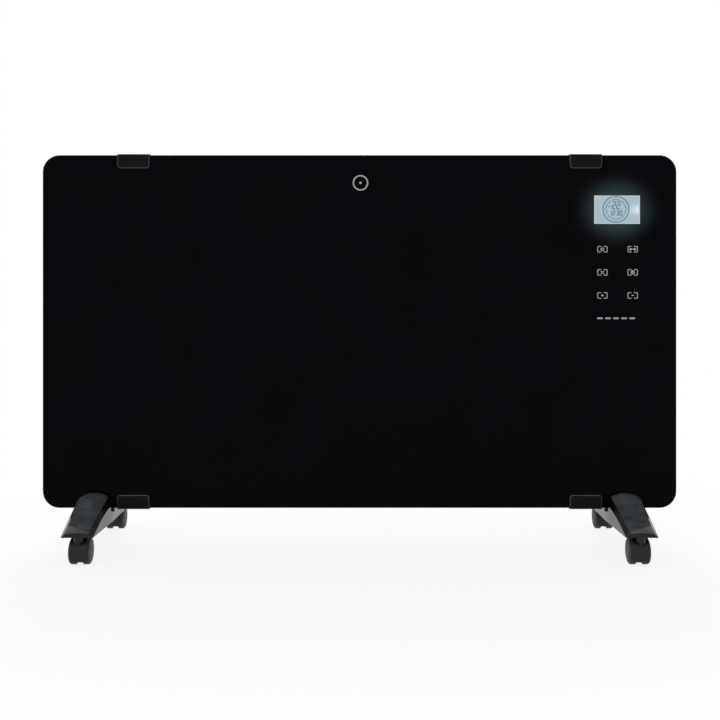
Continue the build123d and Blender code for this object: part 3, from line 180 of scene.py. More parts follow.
def add_node(tree, kind, links=None, **settings):
    """A node with its settings. Each entry of links is a value or another node's output."""
    node = tree.nodes.new(kind)
    for name, value in settings.items():
        setattr(node, name, value)
    for socket, value in (links or {}).items():
        if isinstance(value, bpy.types.NodeSocket):
            tree.links.new(value, node.inputs[socket])
        else:
            node.inputs[socket].default_value = value
    return node


def new_material(name, **shader_values):
    """An empty material with one Principled shader, whose whole-surface values are given."""
    material = bpy.data.materials.new(name)
    material.use_nodes = True
    tree = material.node_tree
    tree.nodes.clear()
    shader = add_node(tree, "ShaderNodeBsdfPrincipled")
    for socket, value in shader_values.items():
        shader.inputs[socket.replace("_", " ")].default_value = value
    add_node(tree, "ShaderNodeOutputMaterial", {"Surface": shader.outputs[0]})
    return material, tree, shader


def shade(colour, share):
    """The colour made darker or lighter, as a share of itself."""
    return (*(min(1.0, part * share) for part in colour[:3]), 1.0)


def object_place(tree):
    return add_node(tree, "ShaderNodeTexCoord").outputs["Object"]


def mix_colours(tree, factor, first, second):
    """A colour between two, as the factor goes from 0 to 1."""
    mix = add_node(tree, "ShaderNodeMix", {MIX_FACTOR: factor, MIX_A: first, MIX_B: second},
                   data_type="RGBA")
    return mix.outputs[MIX_RESULT]


def add_drift(tree, shader, colour, spread, patch_mm, roughness):
    """Colour and roughness that drift a little over patches of this size."""
    drift = add_node(tree, "ShaderNodeTexNoise",
                     {"Vector": object_place(tree), "Scale": 1 / (patch_mm * MM), "Detail": 3.0})
    mixed = mix_colours(tree, drift.outputs[0], shade(colour, 1 - spread), shade(colour, 1 + spread))
    tree.links.new(mixed, shader.inputs["Base Color"])
    rough = add_node(tree, "ShaderNodeMapRange", {"Value": drift.outputs[0], "From Min": 0.3,
                                                  "From Max": 0.7, "To Min": roughness[0],
                                                  "To Max": roughness[1]})
    tree.links.new(rough.outputs[0], shader.inputs["Roughness"])


def facing(tree, axis, low, high):
    """1 where the surface faces along the axis, falling to 0 where it is turned away."""
    normal = add_node(tree, "ShaderNodeTexCoord").outputs["Normal"]
    parts = add_node(tree, "ShaderNodeSeparateXYZ", {0: normal})
    share = add_node(tree, "ShaderNodeMapRange",
                     {"Value": parts.outputs[axis], "From Min": low, "From Max": high})
    return share.outputs[0]


def add_tone(tree, shader, factor, colour, spread, patch_mm):
    """Mixes a second, softly patchy colour into the base colour where the factor is above 0."""
    patches = add_node(tree, "ShaderNodeTexNoise",
                       {"Vector": object_place(tree), "Scale": 1 / (patch_mm * MM), "Detail": 2.0})
    tone = mix_colours(tree, patches.outputs[0], shade(colour, 1 - spread), shade(colour, 1 + spread))
    base = shader.inputs["Base Color"].links[0].from_socket
    tree.links.new(mix_colours(tree, factor, base, tone), shader.inputs["Base Color"])


def add_grain(tree, shader, grain_mm, relief_mm, stretch=(1.0, 1.0, 1.0)):
    """Fine relief with grains of this size, drawn out along an axis with a small stretch."""
    place = add_node(tree, "ShaderNodeMapping", {"Vector": object_place(tree), "Scale": stretch})
    grain = add_node(tree, "ShaderNodeTexNoise",
                     {"Vector": place.outputs[0], "Scale": 1 / (grain_mm * MM), "Detail": 4.0})
    bump = add_node(tree, "ShaderNodeBump", {"Height": grain.outputs[0], "Distance": relief_mm * MM,
                                             "Strength": 1.0})
    tree.links.new(bump.outputs[0], shader.inputs["Normal"])


# Glass, marks and display

def back_painted_glass(colours):
    """Toughened float glass, painted black on the back, with ground and polished edges.

    The front is a deep, even black, the bevel and the edges are the glass's own green-grey tint
    made paler by a painted highlight, and the display's light spills into the pane around it.
    """
    material, tree, shader = new_material("toughened_glass_back_painted", IOR=1.52,
                                          Specular_IOR_Level=0.025, Emission_Strength=1.0)
    normal = add_node(tree, "ShaderNodeTexCoord").outputs["Normal"]
    facing = add_node(tree, "ShaderNodeSeparateXYZ", {0: normal})
    flatness = add_node(tree, "ShaderNodeMath", {0: facing.outputs["Y"]}, operation="ABSOLUTE")
    is_face = add_node(tree, "ShaderNodeMapRange",
                       {"Value": flatness.outputs[0], "From Min": 0.75, "From Max": 0.95})
    paint_drift = add_node(tree, "ShaderNodeTexNoise",
                           {"Vector": object_place(tree), "Scale": 1 / (90 * MM), "Detail": 2.0})
    paint = mix_colours(tree, paint_drift.outputs[0], shade(colours.glass, 0.7),
                        shade(colours.glass, 1.3))
    # Bevel and edges: the glass's own green-grey tint, made paler by a painted highlight
    tree.links.new(mix_colours(tree, is_face.outputs[0], colours.glass_edge_tint_and_highlight, paint),
                   shader.inputs["Base Color"])
    rough = add_node(tree, "ShaderNodeMapRange",
                     {"Value": is_face.outputs[0], "To Min": 0.16, "To Max": 0.035})
    tree.links.new(rough.outputs[0], shader.inputs["Roughness"])
    glow_reach = (1 / (67 * MM), 0.0, 1 / (58 * MM))
    offset = add_node(tree, "ShaderNodeVectorMath",
                      {0: object_place(tree), 1: CELL_MIDDLE}, operation="SUBTRACT")
    scaled = add_node(tree, "ShaderNodeVectorMath",
                      {0: offset.outputs[0], 1: glow_reach}, operation="MULTIPLY")
    distance = add_node(tree, "ShaderNodeVectorMath", {0: scaled.outputs[0]}, operation="LENGTH")
    glow = add_node(tree, "ShaderNodeMapRange",
                    {"Value": distance.outputs["Value"], "From Min": 0.2, "From Max": 1.0,
                     "To Min": 1.0, "To Max": 0.0}, interpolation_type="SMOOTHSTEP")
    fade = add_node(tree, "ShaderNodeMath", {0: glow.outputs[0], 1: 1.6}, operation="POWER")
    front = add_node(tree, "ShaderNodeMath", {0: fade.outputs[0], 1: is_face.outputs[0]},
                     operation="MULTIPLY")
    tree.links.new(mix_colours(tree, front.outputs[0], (0.0, 0.0, 0.0, 1.0), colours.glow),
                   shader.inputs["Emission Color"])
    return material


def screen_printed_ink(name, colour):
    """Ceramic ink, screen printed: a flat pale grey with the slight unevenness of the mesh."""
    material, tree, shader = new_material(name, IOR=1.5)
    add_drift(tree, shader, colour, 0.08, 3.0, (0.45, 0.6))
    add_grain(tree, shader, 0.5, 0.004)
    return material


def lit_crystal_cell(colours):
    """Liquid crystal cell, lit from the right edge: cool blue-grey, brightest beside the lamp."""
    material, tree, shader = new_material("liquid_crystal_cell_edge_lit", IOR=1.5, Roughness=0.25,
                                          Specular_IOR_Level=0.1, Emission_Strength=1.0)
    shader.inputs["Base Color"].default_value = linear("#0A0C0E")
    lamp = Vector((CELL_HIGH.x, GLASS_LOW.y, CELL_MIDDLE.z))
    offset = add_node(tree, "ShaderNodeVectorMath", {0: object_place(tree), 1: lamp},
                      operation="SUBTRACT")
    scaled = add_node(tree, "ShaderNodeVectorMath",
                      {0: offset.outputs[0], 1: (1 / (20 * MM), 0.0, 1 / (10 * MM))},
                      operation="MULTIPLY")
    distance = add_node(tree, "ShaderNodeVectorMath", {0: scaled.outputs[0]}, operation="LENGTH")
    near = add_node(tree, "ShaderNodeMapRange",
                    {"Value": distance.outputs["Value"], "To Min": 1.0, "To Max": 0.0},
                    interpolation_type="SMOOTHSTEP")
    drift = add_node(tree, "ShaderNodeTexNoise",
                     {"Vector": object_place(tree), "Scale": 1 / (14 * MM), "Detail": 2.0})
    even = mix_colours(tree, drift.outputs[0], shade(colours.screen, 0.9),
                       shade(colours.screen, 1.12))
    tree.links.new(mix_colours(tree, near.outputs[0], even, linear("#DDE9F1")),
                   shader.inputs["Emission Color"])
    return material


def crystal_segments(name, colour):
    """Segments of the liquid crystal that let less or more of the cell's light through."""
    material, tree, shader = new_material(name, IOR=1.5, Roughness=0.3, Specular_IOR_Level=0.1,
                                          Emission_Strength=1.0)
    shader.inputs["Base Color"].default_value = linear("#0A0C0E")
    drift = add_node(tree, "ShaderNodeTexNoise",
                     {"Vector": object_place(tree), "Scale": 1 / (5 * MM), "Detail": 1.0})
    tree.links.new(mix_colours(tree, drift.outputs[0], shade(colour, 0.85), shade(colour, 1.15)),
                   shader.inputs["Emission Color"])
    return material


# Plastics

def moulded_clip_plastic(colours):
    """ABS moulded in a finely blasted tool: satin, with a painted highlight that pales the bevels."""
    material, tree, shader = new_material("abs_satin_moulded_clips", IOR=1.53,
                                          Specular_IOR_Level=0.07)
    add_drift(tree, shader, colours.clips, 0.12, 9.0, (0.42, 0.52))
    front = facing(tree, "Y", 0.0, -1.0)
    # The bevels are the faces that look partly forwards; their paler tone is a painted highlight
    bevel = add_node(tree, "ShaderNodeMath", {0: front, 1: 0.68, 2: 0.24}, operation="COMPARE")
    add_tone(tree, shader, bevel.outputs[0], colours.clip_bevel_highlight, 0.2, 5.0)
    add_grain(tree, shader, 0.45, 0.006)
    return material


def polished_foot_plastic(colours):
    """ABS moulded in a polished tool: piano black and faintly wavy, with a patchy painted sheen on top.
    """
    material, tree, shader = new_material("abs_polished_moulded_feet", IOR=1.53,
                                          Specular_IOR_Level=0.25)
    add_drift(tree, shader, colours.feet, 0.1, 30.0, (0.05, 0.09))
    # Painted sheen: the faces that look upwards are made paler in soft patches
    add_tone(tree, shader, facing(tree, "Z", 0.5, 0.8), colours.foot_painted_sheen, 0.75, 13.0)
    add_grain(tree, shader, 22.0, 0.03)
    return material


def castor_polyamide(colours):
    """Glass-filled polyamide, moulded: dark grey, softly uneven, with a dull shine."""
    material, tree, shader = new_material("polyamide_moulded_castors", IOR=1.53,
                                          Specular_IOR_Level=0.25)
    add_drift(tree, shader, colours.castors, 0.18, 5.0, (0.32, 0.48))
    add_grain(tree, shader, 0.6, 0.012)
    return material


def wheel_polyamide(colours):
    """Polyamide, moulded and rolled on floors: a shade darker, duller and more uneven than the hoods.
    """
    material, tree, shader = new_material("polyamide_moulded_wheels", IOR=1.53,
                                          Specular_IOR_Level=0.25)
    add_drift(tree, shader, shade(colours.castors, 0.95), 0.22, 2.5, (0.36, 0.6))
    add_grain(tree, shader, 0.9, 0.018)
    return material


def textured_abs(name, hex_colour, patch_mm=20.0):
    """ABS from a spark-eroded tool: an even fine pitting that keeps the surface matt."""
    material, tree, shader = new_material(name, IOR=1.53, Specular_IOR_Level=0.3)
    add_drift(tree, shader, linear(hex_colour), 0.1, patch_mm, (0.5, 0.62))
    add_grain(tree, shader, 0.8, 0.03)
    return material


def grille_polypropylene():
    """Polypropylene, moulded: slightly waxy, with flow lines along the slats."""
    material, tree, shader = new_material("polypropylene_moulded_grilles", IOR=1.49)
    add_drift(tree, shader, linear("#17181A"), 0.12, 25.0, (0.4, 0.5))
    add_grain(tree, shader, 0.7, 0.012, stretch=(0.15, 1.0, 1.0))
    return material


def gloss_rocker_plastic():
    """Polycarbonate, moulded glossy: the rocker shines where its frame doesn't."""
    material, tree, shader = new_material("polycarbonate_gloss_rocker", IOR=1.58)
    add_drift(tree, shader, linear("#101113"), 0.08, 6.0, (0.1, 0.18))
    add_grain(tree, shader, 4.0, 0.008)
    return material


def white_polyamide():
    """Flame-proofed polyamide, moulded: an off-white that is a little translucent at its rims."""
    material, tree, shader = new_material("polyamide_white_moulded", IOR=1.53,
                                          Subsurface_Weight=0.08)
    shader.inputs["Subsurface Radius"].default_value = (1 * MM, 1 * MM, 1 * MM)
    add_drift(tree, shader, linear("#DEDCD2"), 0.05, 8.0, (0.4, 0.5))
    add_grain(tree, shader, 0.6, 0.01)
    return material


def clear_acrylic():
    """Cast acrylic light guide: clear, with a faint frost that scatters the lamp's light."""
    material, tree, shader = new_material("acrylic_light_guide", IOR=1.49,
                                          Transmission_Weight=0.85)
    add_drift(tree, shader, linear("#E4EEF2"), 0.03, 6.0, (0.12, 0.22))
    add_grain(tree, shader, 1.2, 0.01)
    return material


def sensor_epoxy():
    """Epoxy, dipped: a glossy black bead with the lumps of a cured drop."""
    material, tree, shader = new_material("epoxy_dipped_sensor", IOR=1.55)
    add_drift(tree, shader, linear("#141416"), 0.1, 3.0, (0.12, 0.22))
    add_grain(tree, shader, 2.5, 0.06)
    return material


def pad_rubber():
    """Closed-cell EPDM sponge: black, matt, with skin cells that show as fine pits."""
    material, tree, shader = new_material("epdm_sponge_pads", IOR=1.5, Specular_IOR_Level=0.25)
    add_drift(tree, shader, linear("#1C1C1C"), 0.2, 2.0, (0.8, 0.92))
    add_grain(tree, shader, 0.9, 0.08)
    return material


def silicone_sleeve():
    """Silicone over glass braid: pale grey leads with a soft, waxy shine."""
    material, tree, shader = new_material("silicone_extruded_leads", IOR=1.41)
    add_drift(tree, shader, linear("#A9A69E"), 0.12, 8.0, (0.5, 0.62))
    add_grain(tree, shader, 1.1, 0.03)
    return material


# Metals, coatings and ceramic

def powder_coat(colours):
    """Polyester powder coat on steel: a low orange peel with a fine sandy shimmer."""
    material, tree, shader = new_material("polyester_powder_coat_on_steel", IOR=1.5,
                                          Specular_IOR_Level=0.3)
    add_drift(tree, shader, colours.casing, 0.12, 45.0, (0.42, 0.52))
    add_grain(tree, shader, 1.3, 0.035)
    return material


def black_oxide_steel():
    """Steel with a black oxide: a dark metal sheen, brighter and darker in small random patches."""
    material, tree, shader = new_material("steel_black_oxide_screws", Metallic=1.0)
    add_drift(tree, shader, linear("#3A3A3C"), 0.3, 1.5, (0.34, 0.5))
    add_grain(tree, shader, 0.5, 0.015)
    return material


def galvanised_sheet():
    """Hot-dip galvanised steel: spangles some 8 mm across, each with its own tone and dullness."""
    material, tree, shader = new_material("steel_galvanised_sheet", Metallic=1.0)
    spangle = add_node(tree, "ShaderNodeTexVoronoi",
                       {"Vector": object_place(tree), "Scale": 1 / (8 * MM)})
    tone = add_node(tree, "ShaderNodeSeparateXYZ", {0: spangle.outputs["Color"]})
    tree.links.new(mix_colours(tree, tone.outputs["X"], linear("#9A9EA1"), linear("#C9CCCE")),
                   shader.inputs["Base Color"])
    rough = add_node(tree, "ShaderNodeMapRange",
                     {"Value": tone.outputs["Y"], "To Min": 0.28, "To Max": 0.5})
    tree.links.new(rough.outputs[0], shader.inputs["Roughness"])
    add_grain(tree, shader, 3.0, 0.01)
    return material


def extruded_aluminium():
    """Aluminium, extruded and left as it came: pale, with fine die lines along its length."""
    material, tree, shader = new_material("aluminium_extruded_mill_finish", Metallic=1.0)
    add_drift(tree, shader, linear("#C4C6C8"), 0.08, 30.0, (0.28, 0.4))
    add_grain(tree, shader, 0.8, 0.02, stretch=(0.03, 1.0, 1.0))
    return material


def dark_grey_zinc_steel():
    """Steel, zinc plated, in a dark grey: a dark metal sheen with turning marks."""
    material, tree, shader = new_material("steel_zinc_plated_dark_grey", Metallic=1.0)
    add_drift(tree, shader, linear("#2B2C30"), 0.15, 4.0, (0.32, 0.46))
    add_grain(tree, shader, 0.5, 0.012, stretch=(1.0, 1.0, 4.0))
    return material


def spring_steel():
    """Stainless spring wire: bright and drawn, with scratches round each coil."""
    material, tree, shader = new_material("steel_spring_wire", Metallic=1.0)
    add_drift(tree, shader, linear("#BFC0C2"), 0.08, 3.0, (0.22, 0.3))
    add_grain(tree, shader, 0.4, 0.01, stretch=(1.0, 4.0, 1.0))
    return material


def steatite_ceramic():
    """Steatite, pressed and fired without glaze: chalky cream with tiny dark specks."""
    material, tree, shader = new_material("steatite_unglazed_insulators", IOR=1.6)
    add_drift(tree, shader, linear("#D8D1C0"), 0.07, 1.8, (0.68, 0.8))
    add_grain(tree, shader, 0.4, 0.02)
    return material


def circuit_board():
    """Glass-epoxy board under green solder mask: paler tracks show through on a square grid."""
    material, tree, shader = new_material("glass_epoxy_solder_mask", IOR=1.55)
    turned = add_node(tree, "ShaderNodeMapping", {"Vector": object_place(tree)})
    turned.inputs["Rotation"].default_value = (math.pi / 2, 0.0, 0.0)
    tracks = add_node(tree, "ShaderNodeTexBrick",
                      {"Vector": turned.outputs[0], "Scale": 1 / (9 * MM), "Mortar Size": 0.06,
                       "Color1": linear("#12402A"), "Color2": linear("#174A31"),
                       "Mortar": linear("#2C6B45")})
    place = add_node(tree, "ShaderNodeSeparateXYZ", {0: object_place(tree)})
    is_case = add_node(tree, "ShaderNodeMath",
                       {0: place.outputs["Y"], 1: BOARD_HIGH.y - 8 * MM}, operation="LESS_THAN")
    on_power_board = add_node(tree, "ShaderNodeMath", {0: place.outputs["Z"], 1: BOARD_HIGH.z},
                              operation="LESS_THAN")
    case = add_node(tree, "ShaderNodeMath", {0: is_case.outputs[0], 1: on_power_board.outputs[0]},
                    operation="MULTIPLY")
    tree.links.new(mix_colours(tree, case.outputs[0], tracks.outputs["Color"], linear("#1B1D22")),
                   shader.inputs["Base Color"])
    drift = add_node(tree, "ShaderNodeTexNoise",
                     {"Vector": object_place(tree), "Scale": 1 / (4 * MM)})
    rough = add_node(tree, "ShaderNodeMapRange",
                     {"Value": drift.outputs[0], "To Min": 0.25, "To Max": 0.45})
    tree.links.new(rough.outputs[0], shader.inputs["Roughness"])
    return material


def seen_or_mirrored(tree):
    """1 for the rays that show a thing or mirror it, 0 for those that light with it."""
    path = add_node(tree, "ShaderNodeLightPath")
    seen = add_node(tree, "ShaderNodeMath", {0: path.outputs["Is Camera Ray"],
                                             1: path.outputs["Is Glossy Ray"]}, operation="MAXIMUM")
    shown = add_node(tree, "ShaderNodeMath", {0: seen.outputs[0],
                                              1: path.outputs["Is Transmission Ray"]},
                     operation="MAXIMUM")
    return shown.outputs[0]


def studio_floor(colours):
    """Matt white paper: keeps the object's soft shadow, and turns full white further off."""
    material, tree, shader = new_material("paper_matt_white_floor", Specular_IOR_Level=0.0)
    add_drift(tree, shader, colours.floor, 0.004, 400.0, (0.9, 0.95))
    distance = add_node(tree, "ShaderNodeVectorMath", {0: object_place(tree)}, operation="LENGTH")
    whitening = add_node(tree, "ShaderNodeMapRange",
                         {"Value": distance.outputs["Value"], "From Min": 0.45, "From Max": 0.95,
                          "To Min": 0.86, "To Max": 1.0}, interpolation_type="SMOOTHSTEP")
    share = add_node(tree, "ShaderNodeMath", {0: seen_or_mirrored(tree), 1: whitening.outputs[0]},
                     operation="MULTIPLY")
    white = add_node(tree, "ShaderNodeEmission", {"Color": (1.0, 1.0, 1.0, 1.0), "Strength": 1.0})
    mix = add_node(tree, "ShaderNodeMixShader",
                   {0: share.outputs[0], 1: shader.outputs[0], 2: white.outputs[0]})
    output = next(node for node in tree.nodes if node.type == "OUTPUT_MATERIAL")
    tree.links.new(mix.outputs[0], output.inputs["Surface"])
    return material


def dress(material, *nodes):
    """Gives the material to CAD nodes, whose meshes stay as they are."""
    for name in nodes:
        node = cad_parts[name]
        if not node.material_slots:
            node.data.materials.append(material)
        for slot in node.material_slots:
            slot.material = material


# Drawing marks on the glass

def arc(x, z, radius, start, end, steps=ARC_STEPS):
    """Points along an arc in X and Z, between two angles in degrees from +X."""
    angles = [math.radians(start + (end - start) * i / steps) for i in range(steps + 1)]
    return [(x + radius * math.cos(a), z + radius * math.sin(a)) for a in angles]


def circle(x, z, radius, corners=CIRCLE_STEPS):
    """Points round a circle, with fewer corners for a small dot."""
    return arc(x, z, radius, 0, 360, corners)[:-1]


def rounded_rectangle(x, z, width, height, radius):
    """Points round a rectangle with round corners, anticlockwise from the upper right corner."""
    right, top = x + width / 2 - radius, z + height / 2 - radius
    left, bottom = x - width / 2 + radius, z - height / 2 + radius
    return (arc(right, top, radius, 0, 90) + arc(left, top, radius, 90, 180)
            + arc(left, bottom, radius, 180, 270) + arc(right, bottom, radius, 270, 360))


def add_plate(mesh, outline, back_y, thickness):
    """A flat closed plate with this outline, whose back lies at back_y."""
    back = [mesh.verts.new((x, back_y, z)) for x, z in outline]
    front = [mesh.verts.new((x, back_y - thickness, z)) for x, z in outline]
    mesh.faces.new(front)
    mesh.faces.new(back[::-1])
    for i in range(len(outline)):
        j = (i + 1) % len(outline)
        mesh.faces.new((back[i], back[j], front[j], front[i]))


def add_line(mesh, points, width, back_y, thickness, closed=False):
    """A flat closed ribbon of even width along points, whose back lies at back_y."""
    count = len(points)
    rows = []
    for i, point in enumerate(points):
        here = Vector(point)
        before = Vector(points[i - 1]) if closed or i else None
        after = Vector(points[(i + 1) % count]) if closed or i < count - 1 else None
        ahead = (after - here if after else here - before).normalized()
        behind = (here - before if before else ahead).normalized()
        along = (ahead + behind).normalized()
        side = Vector((-along.y, along.x)) * width / 2 / max(0.5, along.dot(ahead))
        corners = ((here + side, 0), (here - side, 0), (here - side, thickness),
                   (here + side, thickness))
        rows.append([mesh.verts.new((p.x, back_y - rise, p.y)) for p, rise in corners])
    pairs = list(zip(rows, rows[1:]))
    if closed:
        pairs.append((rows[-1], rows[0]))
    for first, second in pairs:
        for i in range(4):
            j = (i + 1) % 4
            mesh.faces.new((first[i], first[j], second[j], second[i]))
    if not closed:
        mesh.faces.new(rows[0])
        mesh.faces.new(rows[-1][::-1])


def add_piece(name, material, draw):
    """A piece on the glass that draw fills with mesh, and that rides on the heater."""
    shape = bmesh.new()
    draw(shape)
    bmesh.ops.recalc_face_normals(shape, faces=shape.faces)
    mesh = bpy.data.meshes.new(name)
    shape.to_mesh(mesh)
    shape.free()
    mesh.materials.append(material)
    piece = bpy.data.objects.new(name, mesh)
    bpy.context.scene.collection.objects.link(piece)
    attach(piece, BODY)


def add_digit(mesh, digit, x, z, width, height, line, back_y, thickness):
    """A seven-segment digit whose middle is at x and z."""
    short = line * 0.3
    for name in DIGITS[digit]:
        ends = [Vector((x + a * width / 2, z + b * height / 2)) for a, b in SEGMENTS[name]]
        inset = (ends[1] - ends[0]).normalized() * short
        add_line(mesh, [tuple(ends[0] + inset), tuple(ends[1] - inset)], line, back_y, thickness)


def touch_mark_centres():
    """The middle of each touch mark, from the contact springs behind the glass."""
    left, right = SPRINGS_LOW.x + SPRING_RADIUS, SPRINGS_HIGH.x - SPRING_RADIUS
    bottom, top = SPRINGS_LOW.z + SPRING_RADIUS, SPRINGS_HIGH.z - SPRING_RADIUS
    return [(x, z) for z in (top, (top + bottom) / 2, bottom) for x in (left, right)]


def power_icon(x, z):
    """A ring that is open at the top, with a short bar in the opening."""
    radius = 1.8 * MM
    return [arc(x, z, radius, 130, 410, 24), [(x, z + 1.1 * MM), (x, z + 2.6 * MM)]]


def mode_icon(x, z):
    """A zigzag, then a bar that ends in an arrowhead."""
    step = 1.1 * MM
    rise = 1.2 * MM
    zigzag = [(x - 4.2 * MM + step * i, z + rise * (1 if i % 2 else -1)) for i in range(4)]
    head = [(x + 2.1 * MM, z + 1.4 * MM), (x + 4.0 * MM, z), (x + 2.1 * MM, z - 1.4 * MM)]
    return [zigzag, [(x - 0.1 * MM, z), (x + 2.6 * MM, z)], head]


def fan_icon(x, z):
    """Four straight blades round a middle."""
    root = 0.5 * MM
    tip = 1.8 * MM
    return [[(x + a * root, z + b * root), (x + a * tip, z + b * tip)]
            for a in (-1, 1) for b in (-1, 1)]


def clock_icon(x, z):
    """A ring with an upright hand and a hand to the right."""
    radius = 2.1 * MM
    return [arc(x, z, radius, 0, 359, 40), [(x, z + 1.2 * MM), (x, z), (x + 1.0 * MM, z)]]


def plus_icon(x, z):
    """A cross whose upright is in two strokes, so that no strokes overlap."""
    reach = 1.5 * MM
    middle = ICON_LINE / 2
    return [[(x - reach, z), (x + reach, z)], [(x, z + middle), (x, z + reach)],
            [(x, z - reach), (x, z - middle)]]


def minus_icon(x, z):
    return [[(x - 1.5 * MM, z), (x + 1.5 * MM, z)]]


TOUCH_MARKS = (
    ("power", power_icon), ("mode", mode_icon), ("fan", fan_icon),
    ("timer", clock_icon), ("plus", plus_icon), ("minus", minus_icon),
)


class HeaterOperator:
    """What the heater's operators share."""
    bl_options = {"REGISTER", "UNDO"}

    def execute(self, context):
        self.build(context.scene.heater_sizes, context.scene.heater_colours)
        return {"FINISHED"}


class HEATER_OT_finish_glass(HeaterOperator, bpy.types.Operator):
    """Gives the glass front, its clips, pads and screws their finishes"""
    bl_idname = "heater.finish_glass"
    bl_label = "Finish glass and clips"

    def build(self, sizes, colours):
        dress(back_painted_glass(colours), "glass_panel")
        dress(moulded_clip_plastic(colours), "clip_top_left", "clip_top_right",
              "clip_bottom_left", "clip_bottom_right")
        dress(pad_rubber(), "clip_pads")
        dress(black_oxide_steel(), "clip_screws", "casing_screws", "foot_screws")


class HEATER_OT_finish_casing(HeaterOperator, bpy.types.Operator):
    """Gives the casing, its end caps, grilles, switch and cable inlet their finishes"""
    bl_idname = "heater.finish_casing"
    bl_label = "Finish casing"

    def build(self, sizes, colours):
        dress(powder_coat(colours), "rear_casing")
        dress(textured_abs("abs_spark_eroded_end_caps", "#1D1D1F"), "end_cap_left", "end_cap_right")
        dress(grille_polypropylene(), "top_grille", "bottom_grille")
        dress(textured_abs("polyamide_switch_frame", "#161618", 8.0), "switch_housing")
        dress(gloss_rocker_plastic(), "switch_rocker")
        dress(textured_abs("polyamide_cable_gland", "#1A1B1D", 6.0), "cable_gland")


class HEATER_OT_finish_feet(HeaterOperator, bpy.types.Operator):
    """Gives the feet and the plates under them their finishes"""
    bl_idname = "heater.finish_feet"
    bl_label = "Finish feet"

    def build(self, sizes, colours):
        dress(polished_foot_plastic(colours), "foot_left", "foot_right")
        dress(textured_abs("abs_foot_base_plates", "#151517"), "foot_base_left", "foot_base_right")


class HEATER_OT_finish_castors(HeaterOperator, bpy.types.Operator):
    """Gives the four twin-wheel castors their finishes"""
    bl_idname = "heater.finish_castors"
    bl_label = "Finish castors"

    def build(self, sizes, colours):
        hood = castor_polyamide(colours)
        wheel = wheel_polyamide(colours)
        steel = dark_grey_zinc_steel()
        dress(hood, "castor_sockets")
        for castor in CASTORS:
            dress(hood, f"castor_{castor}_body")
            dress(steel, f"castor_{castor}_stem", f"castor_{castor}_axle")
            dress(wheel, *(f"castor_{castor}_{name}" for name in WHEELS))


class HEATER_OT_finish_inner_parts(HeaterOperator, bpy.types.Operator):
    """Gives the elements, boards, leads and other parts inside the casing their finishes"""
    bl_idname = "heater.finish_inner_parts"
    bl_label = "Finish inner parts"

    def build(self, sizes, colours):
        dress(galvanised_sheet(), "front_heat_shield", "element_brackets", "thermal_cutout")
        dress(extruded_aluminium(), "heating_element_left", "heating_element_right")
        dress(steatite_ceramic(), "element_insulators")
        dress(circuit_board(), "power_board", "touch_board")
        dress(white_polyamide(), "terminal_block", "tilt_switch")
        dress(sensor_epoxy(), "temperature_sensor")
        dress(textured_abs("abs_control_box", "#202022"), "control_box")
        dress(clear_acrylic(), "display_backlight")
        dress(spring_steel(), "touch_springs")
        dress(silicone_sleeve(), "wiring_harness")


class HEATER_OT_add_display(HeaterOperator, bpy.types.Operator):
    """Adds the lit window with its dial, ticks, set temperature and clock"""
    bl_idname = "heater.add_display"
    bl_label = "Add display"

    def build(self, sizes, colours):
        cell = lit_crystal_cell(colours)
        dress(cell, "display_module")
        x, z = CELL_MIDDLE.x, CELL_MIDDLE.z
        glass_y = GLASS_LOW.y
        outline = rounded_rectangle(x, z, sizes.screen_width, sizes.screen_height, 0.6 * MM)
        add_piece("display_screen", cell,
                  lambda mesh: add_plate(mesh, outline, glass_y, sizes.screen_thickness))
        screen_y = glass_y - sizes.screen_thickness
        ink = sizes.ink_thickness
        border = rounded_rectangle(x, z, sizes.screen_width - SCREEN_RIM,
                                   sizes.screen_height - SCREEN_RIM, 0.4 * MM)
        add_piece("display_border", crystal_segments("liquid_crystal_border", linear("#B9CBD5")),
                  lambda mesh: add_line(mesh, border, SCREEN_RIM, screen_y, ink, closed=True))
        dark = crystal_segments("liquid_crystal_segments_dark", colours.segments)
        dial_x = x - 1.5 * MM
        dial_z = z + 0.6 * MM
        add_piece("display_dial", dark,
                  lambda mesh: self.draw_dial(mesh, sizes, dial_x, dial_z, screen_y, ink))
        add_piece("display_digits", dark,
                  lambda mesh: self.draw_digits(mesh, dial_x, dial_z, screen_y, ink))

    def draw_dial(self, mesh, sizes, x, z, back_y, ink):
        add_line(mesh, circle(x, z, sizes.dial_radius), sizes.dial_line, back_y, ink, closed=True)
        for i in range(DIAL_TICKS):
            angle = 360 * i / DIAL_TICKS
            spread = LONG_TICK if i % 2 else SHORT_TICK
            points = arc(x, z, sizes.tick_radius, angle - spread, angle + spread, 4)
            add_line(mesh, points, TICK_LINE, back_y, ink)
        for quarter in range(4):
            turn = math.radians(90 * quarter)
            dot_x = x + DIAL_DOT_PLACE * math.cos(turn)
            dot_z = z + DIAL_DOT_PLACE * math.sin(turn)
            add_plate(mesh, circle(dot_x, dot_z, DIAL_DOT_RADIUS, 12), back_y, ink)

    def draw_digits(self, mesh, x, z, back_y, ink):
        for digit, place in LARGE_DIGITS:
            add_digit(mesh, digit, x + place * MM, z + 5.2 * MM, **LARGE_DIGIT, back_y=back_y,
                      thickness=ink)
        for digit, place in SMALL_DIGITS:
            add_digit(mesh, digit, x + place * MM, z - 5.0 * MM, **SMALL_DIGIT, back_y=back_y,
                      thickness=ink)
        for rise in (-6.2, -3.8):
            add_plate(mesh, circle(x - 0.1 * MM, z + rise * MM, 0.4 * MM, 12), back_y, ink)
        add_plate(mesh, circle(x - 8.6 * MM, z + 3.2 * MM, 0.9 * MM, 8), back_y, ink)


